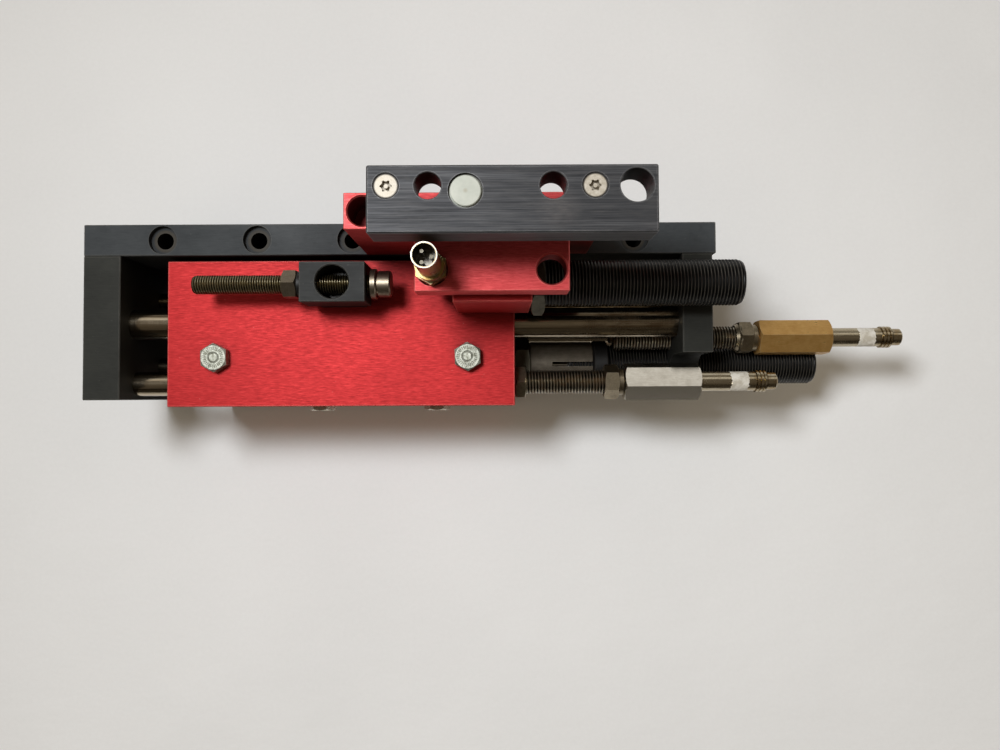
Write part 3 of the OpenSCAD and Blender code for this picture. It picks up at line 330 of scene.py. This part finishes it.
def plated(name, dark, light, rough=(0.3, 0.45), grain=(2600, 2600, 2600), metallic=1.0, wear_and_edge_highlight=None):
    """rough is (where light, where dark), and the last argument is the colour of rubbed corners, which also
    serves as a painted edge highlight.
    """
    m = Mat(name)
    n = m.noise(grain, 3, 0.6)
    cloud = m.noise((330, 330, 330), 4, 0.65, (7, 3, 1))
    tone = m.add(m.times(n, 0.4), m.times(cloud, 0.6))
    colour = m.ramp(tone, [(0.34, dark), (0.66, light)])
    if wear_and_edge_highlight:
        # Corners: rubbed, and lightened as a painted edge highlight.
        mask = m.times(m.edge(0.00025), m.remap(cloud, 0.35, 0.6, 0.3, 0.9))
        colour = m.mix(mask, colour, wear_and_edge_highlight)
    m.link(colour, "Base Color")
    m.put(Metallic=metallic)
    m.link(m.remap(tone, 0.3, 0.7, rough[1], rough[0]), "Roughness")
    m.link(m.bump(n, 0.000012, 0.4), "Normal")
    return m.mat


def threaded(name, axis, crest_r, root_r, root, flank, crest, tint, rough=(0.28, 0.5), metallic=1.0):
    """Metal with a thread round an axis: painted shade darkens the grooves and a painted highlight lightens
    the crests.
    """
    m = Mat(name)
    depth = m.remap(m.radius(*axis), root_r, crest_r, 0.0, 1.0)
    # Painted shade in the grooves, painted highlight on the crests.
    colour = m.ramp(depth, [(0.0, root), (0.45, flank), (0.8, flank), (0.97, crest)])
    cloud = m.noise((420, 420, 420), 4, 0.65, (2, 9, 4))
    colour = m.mix(m.remap(cloud, 0.46, 0.66, 0.0, 0.6), colour, tint)
    m.link(colour, "Base Color")
    m.put(Metallic=metallic)
    m.link(m.remap(cloud, 0.3, 0.7, rough[0], rough[1]), "Roughness")
    m.link(m.bump(m.noise((3000, 3000, 3000), 2, 0.5), 0.00001, 0.4), "Normal")
    return m.mat


def sensor_chrome(name, node, label_from, label_to):
    """Bright barrel with a plain white band stuck round it, and dirt that gathers toward the plug end.
    The band runs between two distances from the barrel's far end."""
    barrel_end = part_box(node)[1].x
    label_from = barrel_end - label_from
    label_to = barrel_end - label_to
    m = Mat(name)
    x = m.axis("X")
    lines = m.noise((20, 1600, 1600), 2, 0.6)
    cloud = m.noise((380, 380, 380), 4, 0.65, (7, 3, 1))
    colour = m.mix(m.remap(lines, 0.35, 0.65, 0.0, 1.0), srgb(160, 148, 122), srgb(196, 186, 164))
    past = m.remap(x, label_to, label_to + 0.002, 0.15, 0.8)
    stained = m.times(past, m.remap(cloud, 0.42, 0.6, 0.0, 1.0))
    colour = m.mix(stained, colour, srgb(148, 126, 90))
    torn = m.add(x, m.remap(m.noise((900, 900, 900), 2, 0.5), 0.3, 0.7, -0.0003, 0.0003))
    inside = m.times(m.over(torn, label_from), m.under(torn, label_to))
    paper = m.mix(m.remap(cloud, 0.42, 0.62, 0.0, 0.7), srgb(226, 223, 214), srgb(176, 168, 150))
    m.link(m.mix(inside, colour, paper), "Base Color")
    m.link(m.minus(1.0, inside), "Metallic")
    m.link(m.add(m.remap(cloud, 0.3, 0.7, 0.18, 0.3), m.times(inside, 0.35)), "Roughness")
    m.link(m.bump(m.add(cloud, m.times(inside, 2.0)), 0.00003, 0.5), "Normal")
    return m.mat


def plug_brass():
    """Plug end of the round sensor: rim rubbed bright, dark inside, brass showing through outside."""
    low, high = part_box("plug_sensor")
    m = Mat("plug_brass")
    cloud = m.noise((420, 420, 420), 4, 0.65, (7, 3, 1))
    outside = m.mix(m.remap(cloud, 0.42, 0.62, 0.0, 1.0), srgb(150, 136, 104), srgb(176, 146, 84))
    r = m.radius((low.x + high.x) / 2, (low.y + high.y) / 2, "XY")
    bore = m.under(r, PLUG_BORE_R + 0.00006)
    rim = m.times(m.over(m.axis("Z"), high.z - 0.00015), m.over(r, PLUG_BORE_R + 0.00016))
    inside = m.mix(m.remap(cloud, 0.4, 0.6, 0.0, 1.0), srgb(84, 81, 76), srgb(140, 136, 128))
    colour = m.mix(bore, outside, inside)
    m.link(m.mix(rim, colour, srgb(168, 165, 156)), "Base Color")
    m.put(Metallic=1.0)
    m.link(m.remap(cloud, 0.3, 0.7, 0.24, 0.4), "Roughness")
    m.link(m.bump(m.noise((2600, 2600, 2600), 2, 0.5), 0.00001, 0.4), "Normal")
    return m.mat


def pair_along_x(node, reach):
    """Centres of the two round pieces of a node that stand at its ends, each reaching that far along X."""
    low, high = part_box(node)
    y = (low.y + high.y) / 2
    return (low.x + reach, y), (high.x - reach, y)


def bolt_zinc():
    """Zinc-plated heads with a pressed ring and fine strokes round it."""
    centres = pair_along_x("housing_bolts", BOLT_REACH)
    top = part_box("housing_bolts")[1].z
    m = Mat("bolt_zinc")
    cloud = m.noise((900, 900, 900), 4, 0.65, (7, 3, 1))
    left, right = (m.radius(x, y, "XY") for x, y in centres)
    near = m.math("MINIMUM", left, right)
    turns = [m.math("ARCTAN2", m.minus(m.axis("Y"), y), m.minus(m.axis("X"), x)) for x, y in centres]
    first = m.under(left, right)
    turn = m.add(m.times(first, turns[0]), m.times(m.minus(1.0, first), turns[1]))
    stroke = m.remap(m.math("SINE", m.times(turn, BOLT_STROKES)), -0.2, 0.8, 0.0, 0.55)
    ring = m.between(near, *BOLT_RING)
    head = m.over(m.axis("Z"), top - 0.0002)
    press = m.times(head, m.add(ring, m.times(m.between(near, *BOLT_BAND), stroke)))
    colour = m.ramp(cloud, [(0.35, srgb(112, 112, 98)), (0.65, srgb(192, 194, 182))])
    colour = m.mix(m.times(press, 0.7), colour, srgb(66, 67, 54))
    # Corners: rubbed, and lightened as a painted edge highlight.
    colour = m.mix(m.times(m.edge(0.00025), 0.7), colour, srgb(236, 236, 228))
    m.link(colour, "Base Color")
    m.put(Metallic=0.75)
    m.link(m.remap(cloud, 0.3, 0.7, 0.32, 0.5), "Roughness")
    m.link(m.bump(m.minus(m.times(cloud, 0.2), press), 0.00012, 0.6), "Normal")
    return m.mat


def screw_white():
    """Bright screws, darker at the rim of the head and deeper in the socket."""
    centres = pair_along_x("lift_bar_screws", BAR_SCREW_R)
    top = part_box("lift_bar_screws")[1].z
    m = Mat("screw_white")
    cloud = m.noise((900, 900, 900), 4, 0.65, (7, 3, 1))
    colour = m.ramp(cloud, [(0.35, srgb(196, 187, 170)), (0.65, srgb(226, 219, 206))])
    near = m.math("MINIMUM", *(m.radius(x, y, "XY") for x, y in centres))
    rim = m.remap(near, BAR_SCREW_R - 0.00035, BAR_SCREW_R - 0.0001, 0.0, 0.9)
    colour = m.mix(rim, colour, srgb(52, 44, 34))
    deep = m.remap(m.axis("Z"), top - 0.00035, top - 0.00095, 0.0, 0.5)
    m.link(m.mix(deep, colour, srgb(104, 92, 74)), "Base Color")
    m.put(Metallic=0.2, Specular_IOR_Level=0.3)
    m.link(m.remap(cloud, 0.3, 0.7, 0.36, 0.5), "Roughness")
    m.link(m.bump(m.noise((1800, 1800, 1800), 3, 0.6), 0.00002, 0.4), "Normal")
    return m.mat


def plastic(name, dark, light, rough, round_node=None):
    """round_node is an upright disc that gets painted shade in the groove at its rim and a small stain in its
    middle.
    """
    m = Mat(name)
    cloud = m.noise((260, 260, 260), 4, 0.6, (1, 2, 3))
    colour = m.ramp(cloud, [(0.35, dark), (0.65, light)])
    if round_node:
        low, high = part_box(round_node)
        middle = (low + high) / 2
        rim = (high.y - low.y) / 2
        r = m.radius(middle.x, middle.y, "XY")
        colour = m.mix(m.remap(r, 0.0007, 0.0002, 0.0, 0.35), colour, srgb(160, 140, 96))
        # Painted shade in the groove round the disc's rim.
        colour = m.mix(m.remap(r, rim - 0.00045, rim - 0.0002, 0.0, 0.9), colour, srgb(58, 55, 44))
    m.link(colour, "Base Color")
    m.link(m.remap(cloud, 0.3, 0.7, rough + 0.08, rough - 0.08), "Roughness")
    m.link(m.bump(m.noise((2400, 2400, 2400), 2, 0.5), 0.00001, 0.4), "Normal")
    return m.mat


PAPER_MIDDLE = (0.03, -0.05)
PAPER_LIT = 0.27  # distance from its middle up to which only the lamp and the sky light it
PAPER_PALE = 0.55  # and from which on it glows in full


def paper_floor():
    m = Mat("paper_floor")
    cloud = m.noise((9, 9, 9), 3, 0.5)
    crease = m.noise((26, 40, 1), 4, 0.6, (3, 1, 0))
    fibre = m.noise((700, 700, 700), 3, 0.6)
    tone = m.add(m.times(cloud, 0.7), m.times(fibre, 0.3))
    m.link(m.ramp(tone, [(0.3, srgb(231, 232, 233)), (0.7, srgb(239, 240, 241))]), "Base Color")
    m.put(Roughness=0.9, Specular_IOR_Level=0.15)
    m.link(m.bump(crease, 0.002, 0.25), "Normal")
    # Far from the object, past its shadow, the paper stays as pale as it is near by.
    pale = m.nt.nodes.new("ShaderNodeEmission")
    pale.inputs["Color"].default_value = (*srgb(216, 214, 210), 1)
    ray = m.nt.nodes.new("ShaderNodeLightPath").outputs
    seen = m.math("MAXIMUM", ray["Is Camera Ray"], ray["Is Glossy Ray"])
    seen = m.math("MAXIMUM", seen, ray["Is Transmission Ray"])
    far = m.times(m.remap(m.radius(*PAPER_MIDDLE, "XY"), PAPER_LIT, PAPER_PALE, 0.0, 1.0), seen)
    both = m.nt.nodes.new("ShaderNodeMixShader")
    m.nt.links.new(far, both.inputs[0])
    m.nt.links.new(m.bsdf.outputs[0], both.inputs[1])
    m.nt.links.new(pale.outputs[0], both.inputs[2])
    m.nt.links.new(both.outputs[0], m.nt.nodes["Material Output"].inputs["Surface"])
    return m.mat


def dark_card():
    m = Mat("dark_card")
    cloud = m.noise((4, 4, 4), 2, 0.5)
    m.link(m.ramp(cloud, [(0.3, srgb(60, 54, 46)), (0.7, srgb(72, 66, 56))]), "Base Color")
    m.put(Roughness=0.9, Specular_IOR_Level=0.1)
    return m.mat


BRUSHED = (400, 3800, 3800)  # grain along X

MATERIALS = {
    "red": red_anodised("red_anodised", srgb(160, 34, 36), srgb(182, 42, 44), srgb(200, 54, 55), 0.6, 0.52),
    # The lift body's red: a lighter, glossier copy, partly a smoother finish and partly painted sheen.
    "red_sheen_copy": red_anodised(
        "red_anodised_sheen_copy", srgb(190, 64, 66), srgb(211, 77, 79), srgb(227, 92, 93), 0.65, 0.5
    ),
    "base": black_anodised("base_black", srgb(50, 54, 57), srgb(68, 72, 75), 0.15, holes=True),
    "end": black_anodised("end_grey", srgb(38, 39, 36), srgb(52, 53, 49), 0.12),
    "block": black_anodised("block_black", srgb(34, 36, 36), srgb(48, 50, 50), 0.2),
    "bar": lift_bar_grey(),
    "rod": polished_rod(
        "polished_rod", srgb(206, 194, 172), srgb(148, 132, 108), srgb(96, 72, 44), 0.052, 0.75
    ),
    "chrome": plated(
        "hard_chrome", srgb(176, 172, 164), srgb(206, 202, 194), (0.12, 0.2), (900, 900, 9000)
    ),
    "gilt": polished_rod(
        "tinted_rod", srgb(196, 170, 126), srgb(140, 114, 76), srgb(110, 76, 38), 0.0, 0.6
    ),
    "adapter": plated(
        "adapter_grey", srgb(74, 66, 54), srgb(96, 88, 76), (0.5, 0.62), (400, 3000, 3000), 0.5,
        srgb(140, 130, 112),
    ),
    "nickel": plated(
        "nickel", srgb(112, 102, 84), srgb(160, 148, 126), (0.3, 0.42), wear_and_edge_highlight=srgb(200, 190, 168)
    ),
    # Painted shade: a darker copy of the nickel for the absorber nuts.
    "dull": plated("nut_painted_shade", srgb(62, 59, 50), srgb(92, 88, 76), (0.4, 0.5), wear_and_edge_highlight=srgb(130, 126, 110)),
    "stop": plated(
        "stop_steel", srgb(116, 105, 90), srgb(158, 147, 130), (0.34, 0.46), wear_and_edge_highlight=srgb(196, 182, 158)
    ),
    "sleeve": plated(
        "sleeve_silver", srgb(196, 190, 177), srgb(216, 211, 200), (0.2, 0.26), BRUSHED,
        wear_and_edge_highlight=srgb(232, 228, 216),
    ),
    "tint": plated(
        "sleeve_brass", srgb(190, 144, 78), srgb(216, 174, 108), (0.26, 0.34), BRUSHED, 0.7,
        srgb(226, 204, 160),
    ),
    "fitting": plated(
        "fitting_nickel", srgb(150, 142, 124), srgb(208, 202, 186), (0.2, 0.34), wear_and_edge_highlight=srgb(236, 232, 220)
    ),
    "zinc": plated("zinc", srgb(150, 150, 142), srgb(210, 210, 202), (0.34, 0.5), wear_and_edge_highlight=srgb(232, 232, 226)),
    "bolt": bolt_zinc(),
    "white": screw_white(),
    "ring": plated(
        "black_oxide", srgb(14, 13, 12), srgb(30, 28, 26), (0.4, 0.55), metallic=0.3, wear_and_edge_highlight=srgb(70, 66, 58)
    ),
    "rubber": plastic("black_rubber", srgb(12, 12, 12), srgb(24, 24, 24), 0.6),
    "bronze": plated("bronze", srgb(120, 84, 44), srgb(176, 132, 80)),
    "insert": plastic("pale_insert", srgb(206, 212, 202), srgb(222, 227, 217), 0.38, "lift_bar_insert"),
    "pin": plated("plug_pin", srgb(64, 61, 54), srgb(96, 92, 82), (0.25, 0.35)),
    "plug": plug_brass(),
    "upper_sensor": sensor_chrome("upper_sensor_chrome", "upper_sensor", 0.0081, 0.0025),
    "lower_sensor": sensor_chrome("lower_sensor_chrome", "lower_sensor", 0.0085, 0.0027),
}

LOOKS = {
    "red": ["housing", "absorber_block"],
    "red_sheen_copy": ["lift_body"],
    "base": ["base_plate"],
    "end": ["left_end_plate", "right_end_plate"],
    "block": ["stop_block"],
    "bar": ["lift_bar"],
    "rod": ["guide_rods", "stop_rod", "damper_rod"],
    "chrome": ["lift_rods", "upper_plunger", "lower_plunger", "lift_piston", "piston", "cylinder_caps",
               "cap_rings"],
    "gilt": ["piston_rod"],
    "adapter": ["lower_adapter"],
    "nickel": ["upper_stop_tube", "upper_stop_nut", "lower_stop_tube", "lower_stop_nuts"],
    "dull": ["upper_absorber_nut", "lower_absorber_nut"],
    "stop": ["stop_screw", "stop_screw_nut", "stop_cap"],
    "sleeve": ["lower_stop_sleeve"],
    "tint": ["upper_stop_sleeve"],
    "fitting": ["air_fittings"],
    "zinc": ["end_plate_screws", "guide_rod_screws", "lift_body_screws", "absorber_block_screws",
             "lift_cylinder_plug"],
    "bolt": ["housing_bolts"],
    "white": ["lift_bar_screws"],
    "ring": ["upper_absorber", "lower_absorber", "clamp_ring", "stop_washer", "stop_block_screw"],
    "rubber": ["piston_seal", "rod_wipers"],
    "bronze": ["guide_bushings"],
    "insert": ["lift_bar_insert"],
    "pin": ["plug_pins"],
    "plug": ["plug_sensor"],
    "upper_sensor": ["upper_sensor", "upper_sensor_end"],
    "lower_sensor": ["lower_sensor", "lower_sensor_end"],
}


def dress_nodes():
    for key, names in LOOKS.items():
        for name in names:
            slots = nodes[name].data.materials
            slots.clear()
            slots.append(MATERIALS[key])


# ---------------------------------------------------------------- threads, in millimetres
SHARP = math.radians(35)
SKIN = 0.02  # a thread starts and ends this far inside its solid's faces
RUN_OUT = 1.15  # of the thread's depth, that its chamfers reach down
FLAT = 0.12  # share of half a pitch that is crest, and that is root


def mesh_object(name, verts, faces, material):
    mesh = bpy.data.meshes.new(name)
    mesh.from_pydata(verts, [], faces)
    mesh.update()
    mesh.materials.append(material)
    obj = bpy.data.objects.new(name, mesh)
    bpy.context.scene.collection.objects.link(obj)
    for p in mesh.polygons:
        p.use_smooth = True
    mesh.set_sharp_from_angle(angle=SHARP)
    return obj


def lathe_x(name, rings, y, z, material, sides):
    """Closed turned piece along X. rings holds (x, radius), and radius may be a function of the angle."""
    verts, faces = [], []
    for x, radius in rings:
        for i in range(sides):
            a = 2 * math.pi * i / sides
            r = radius(a) if callable(radius) else radius
            verts.append((x * MM, (y + r * math.cos(a)) * MM, (z + r * math.sin(a)) * MM))
    for k in range(len(rings) - 1):
        for i in range(sides):
            j = (i + 1) % sides
            a, b = k * sides, (k + 1) * sides
            faces.append((a + i, b + i, b + j, a + j))
    faces.append(tuple(range(sides)))
    last = (len(rings) - 1) * sides
    faces.append(tuple(last + i for i in reversed(range(sides))))
    return mesh_object(name, verts, faces, material)


def thread_rings(x0, x1, r, pitch, depth, lead, steps=6):
    """Rings of a helical thread from x0 to x1 that runs out into a chamfer at both ends."""
    rings = []
    n = max(2, round((x1 - x0) / pitch * steps))
    for k in range(n + 1):
        x = x0 + (x1 - x0) * k / n
        edge = min(x - x0, x1 - x)
        top = r - max(0.0, 1 - edge / lead) * depth * RUN_OUT

        def radius(a, x=x, top=top):
            t = (x / pitch - a / (2 * math.pi)) % 1.0
            wave = (abs(2 * t - 1) - FLAT) / (1 - 2 * FLAT)
            return min(top, r - depth * min(1.0, max(0.0, wave)))

        rings.append((x, radius))
    return rings


def hexagon(across_flats):
    def radius(a):
        return across_flats / 2 / math.cos(a % (math.pi / 3) - math.pi / 6)

    return radius


def axis_of(node):
    """Ends along X and the Y and Z of the axis of a round node."""
    lo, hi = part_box(node)
    return lo.x / MM, hi.x / MM, (lo.y + hi.y) / 2 / MM, (lo.z + hi.z) / 2 / MM


def stands_for(node, name, body, rings, metal, sides):
    """A turned piece that shows in the node's place, round the same axis. metal makes its material."""
    y, z = axis_of(node)[2:]
    obj = lathe_x(name, rings, y, z, metal(name, (y * MM, z * MM)), sides)
    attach(obj, body)
    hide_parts(node)


def absorber(name, node, body):
    """M14x1 body with a socket at its far end and a bore for the plunger at the near one."""
    r, root, chamfer, bore, bore_deep, socket_deep = 7.0, 6.5, 5.9, 2.55, 6, 4.5

    def metal(label, axis):
        return threaded(label, axis, r * MM, root * MM, srgb(4, 4, 3), srgb(15, 14, 13), srgb(96, 92, 84),
                        srgb(24, 22, 19), (0.3, 0.44), 0.5)

    x0, x1 = axis_of(node)[:2]
    socket = hexagon(4.0)
    rings = [(x0 + bore_deep, bore), (x0, bore), (x0, chamfer)]
    rings += thread_rings(x0 + SKIN, x1 - SKIN, r, 1.0, r - root, 1.2)
    rings += [(x1, chamfer), (x1, socket), (x1 - socket_deep, socket)]
    stands_for(node, name, body, rings, metal, 64)


def threaded_tube(name, node, body):
    """M8x1 tube with a thin pin at its near end and an open bore at the far one."""
    r, chamfer, bore, bore_deep = 4.0, 3.3, 2.2, 8
    pin, pin_long, pin_chamfer = 1.6, 1.6, 0.3

    def metal(label, axis):
        return threaded(label, axis, r * MM, 3.55 * MM, srgb(24, 20, 15), srgb(118, 110, 95),
                        srgb(204, 196, 178), srgb(122, 98, 70))

    x0, x1 = axis_of(node)[:2]
    rings = [(x0, pin - pin_chamfer), (x0 + pin_chamfer, pin), (x0 + pin_long, pin)]
    rings += [(x0 + pin_long + SKIN / 2, chamfer)]
    rings += thread_rings(x0 + pin_long + SKIN, x1 - SKIN, r, 1.0, 0.48, 0.8)
    rings += [(x1, chamfer), (x1, bore), (x1 - bore_deep, bore)]
    stands_for(node, name, body, rings, metal, 40)


def stop_screw():
    """M6x0.75 screw with a socket at its free end."""
    r, chamfer, socket_deep = 2.9, 2.3, 2.4

    def metal(label, axis):
        return threaded(label, axis, r * MM, 2.54 * MM, srgb(24, 20, 12), srgb(104, 95, 72),
                        srgb(206, 196, 164), srgb(116, 104, 74))

    x0, x1 = axis_of("stop_screw")[:2]
    socket = hexagon(2.5)
    rings = [(x0 + socket_deep, socket), (x0, socket), (x0, chamfer)]
    rings += thread_rings(x0 + SKIN, x1 - SKIN, r, 0.75, 0.38, 0.7)
    rings += [(x1, chamfer)]
    stands_for("stop_screw", "stop_screw_thread", "carriage", rings, metal, 40)


def make_pieces():
    absorber("upper_absorber_thread", "upper_absorber", "frame")
    absorber("lower_absorber_thread", "lower_absorber", "carriage")
    threaded_tube("upper_tube_thread", "upper_stop_tube", "frame")
    threaded_tube("lower_tube_thread", "lower_stop_tube", "carriage")
    stop_screw()


# ---------------------------------------------------------------- floor and light
FLOOR_HALF = 3.0
FLOOR_DROP = 0.0002  # under the object, so that no faces lie in one plane
CARD_HALF = 0.9
CARD_TALL = 0.6
CARD_Y = -0.6


def make_stage():
    h, z = FLOOR_HALF, -FLOOR_DROP
    corners = [(-h, -h, z), (h, -h, z), (h, h, z), (-h, h, z)]
    floor = mesh_object("floor", corners, [(0, 1, 2, 3)], paper_floor())
    # A dark card in front shows in reflections only, so that the lower facets of bright parts turn dark.
    w, y, top = CARD_HALF, CARD_Y, CARD_TALL
    corners = [(-w, y, 0.0), (w, y, 0.0), (w, y, top), (-w, y, top)]
    card = mesh_object("card", corners, [(0, 1, 2, 3)], dark_card())
    card.visible_camera = card.visible_diffuse = card.visible_shadow = False


LAMP_PLACE = Vector((-0.10, 0.06, 0.45))
LAMP_AIM = Vector((0.11, -0.09, 0.0))
LAMP_SIDE = 0.10
LAMP_ENERGY = 7.0


def make_lamp():
    """A soft lamp high above the left end, whose light doesn't weaken with distance."""
    data = bpy.data.lights.new("lamp", "AREA")
    data.shape = "SQUARE"
    data.size = LAMP_SIDE
    data.energy = LAMP_ENERGY
    data.color = (0.98, 1.0, 1.02)
    data.use_nodes = True
    nt = data.node_tree
    fall = nt.nodes.new("ShaderNodeLightFalloff")
    fall.inputs["Strength"].default_value = 1.0
    nt.links.new(fall.outputs["Constant"], nt.nodes["Emission"].inputs["Strength"])
    lamp = bpy.data.objects.new("lamp", data)
    bpy.context.scene.collection.objects.link(lamp)
    lamp.location = LAMP_PLACE
    lamp.rotation_euler = (LAMP_AIM - LAMP_PLACE).to_track_quat("-Z", "Y").to_euler()
    lamp.visible_camera = False


def make_world():
    """A dim warm sky lights the shadows. Metal mirrors a dusky room with a window behind the object and a
    dark front, and the camera sees a pale background."""
    world = bpy.data.worlds.new("world")
    bpy.context.scene.world = world
    world.use_nodes = True
    nt = world.node_tree
    coords = nt.nodes.new("ShaderNodeTexCoord")
    split = nt.nodes.new("ShaderNodeSeparateXYZ")
    nt.links.new(coords.outputs["Generated"], split.inputs[0])
    ray = nt.nodes.new("ShaderNodeLightPath").outputs

    def sky(*stops):
        """Colours from the horizon up to the zenith."""
        ramp = nt.nodes.new("ShaderNodeValToRGB")
        fill_ramp(ramp, stops)
        back = nt.nodes.new("ShaderNodeBackground")
        nt.links.new(split.outputs["Z"], ramp.inputs["Fac"])
        nt.links.new(ramp.outputs["Color"], back.inputs["Color"])
        return back

    def between(lo, hi):
        """0 to 1 as the direction turns from lo to hi along Y."""
        m = nt.nodes.new("ShaderNodeMapRange")
        m.interpolation_type = "SMOOTHSTEP"
        m.inputs["From Min"].default_value = lo
        m.inputs["From Max"].default_value = hi
        nt.links.new(split.outputs["Y"], m.inputs["Value"])
        return m.outputs["Result"]

    def combine(operation, a, b):
        m = nt.nodes.new("ShaderNodeMath")
        m.operation = operation
        nt.links.new(a, m.inputs[0])
        nt.links.new(b, m.inputs[1])
        return m.outputs[0]

    def blend(share, a, b):
        """Shader a where share is 0 and shader b where it is 1."""
        m = nt.nodes.new("ShaderNodeMixShader")
        nt.links.new(share, m.inputs[0])
        nt.links.new(a.outputs[0], m.inputs[1])
        nt.links.new(b.outputs[0], m.inputs[2])
        return m

    horizon = (0.84, 0.84, 0.83)
    dim = sky((0.0, (0.05, 0.042, 0.032)), (1.0, (0.38, 0.32, 0.24)))
    room = sky((0.0, horizon), (0.08, (0.70, 0.69, 0.67)), (0.25, (0.32, 0.30, 0.27)),
               (0.6, (0.20, 0.175, 0.14)), (0.95, (0.12, 0.10, 0.075)))
    front = sky((0.0, horizon), (0.05, (0.50, 0.49, 0.47)), (0.13, (0.12, 0.10, 0.08)),
                (1.0, (0.10, 0.085, 0.065)))
    window = sky((0.25, (0.35, 0.34, 0.32)), (0.45, (1.0, 0.98, 0.94)))
    pale = nt.nodes.new("ShaderNodeBackground")
    pale.inputs["Color"].default_value = (*horizon, 1)

    walls = blend(between(-0.5, -0.2), front, room)
    pane = combine("SUBTRACT", between(0.40, 0.49), between(0.62, 0.74))
    mirrored = combine("MAXIMUM", ray["Is Glossy Ray"], ray["Is Transmission Ray"])
    seen = blend(mirrored, dim, blend(pane, walls, window))
    seen = blend(ray["Is Camera Ray"], seen, pale)
    nt.links.new(seen.outputs[0], nt.nodes["World Output"].inputs["Surface"])


make_camera()
dress_nodes()
make_pieces()
make_stage()
make_lamp()
make_world()
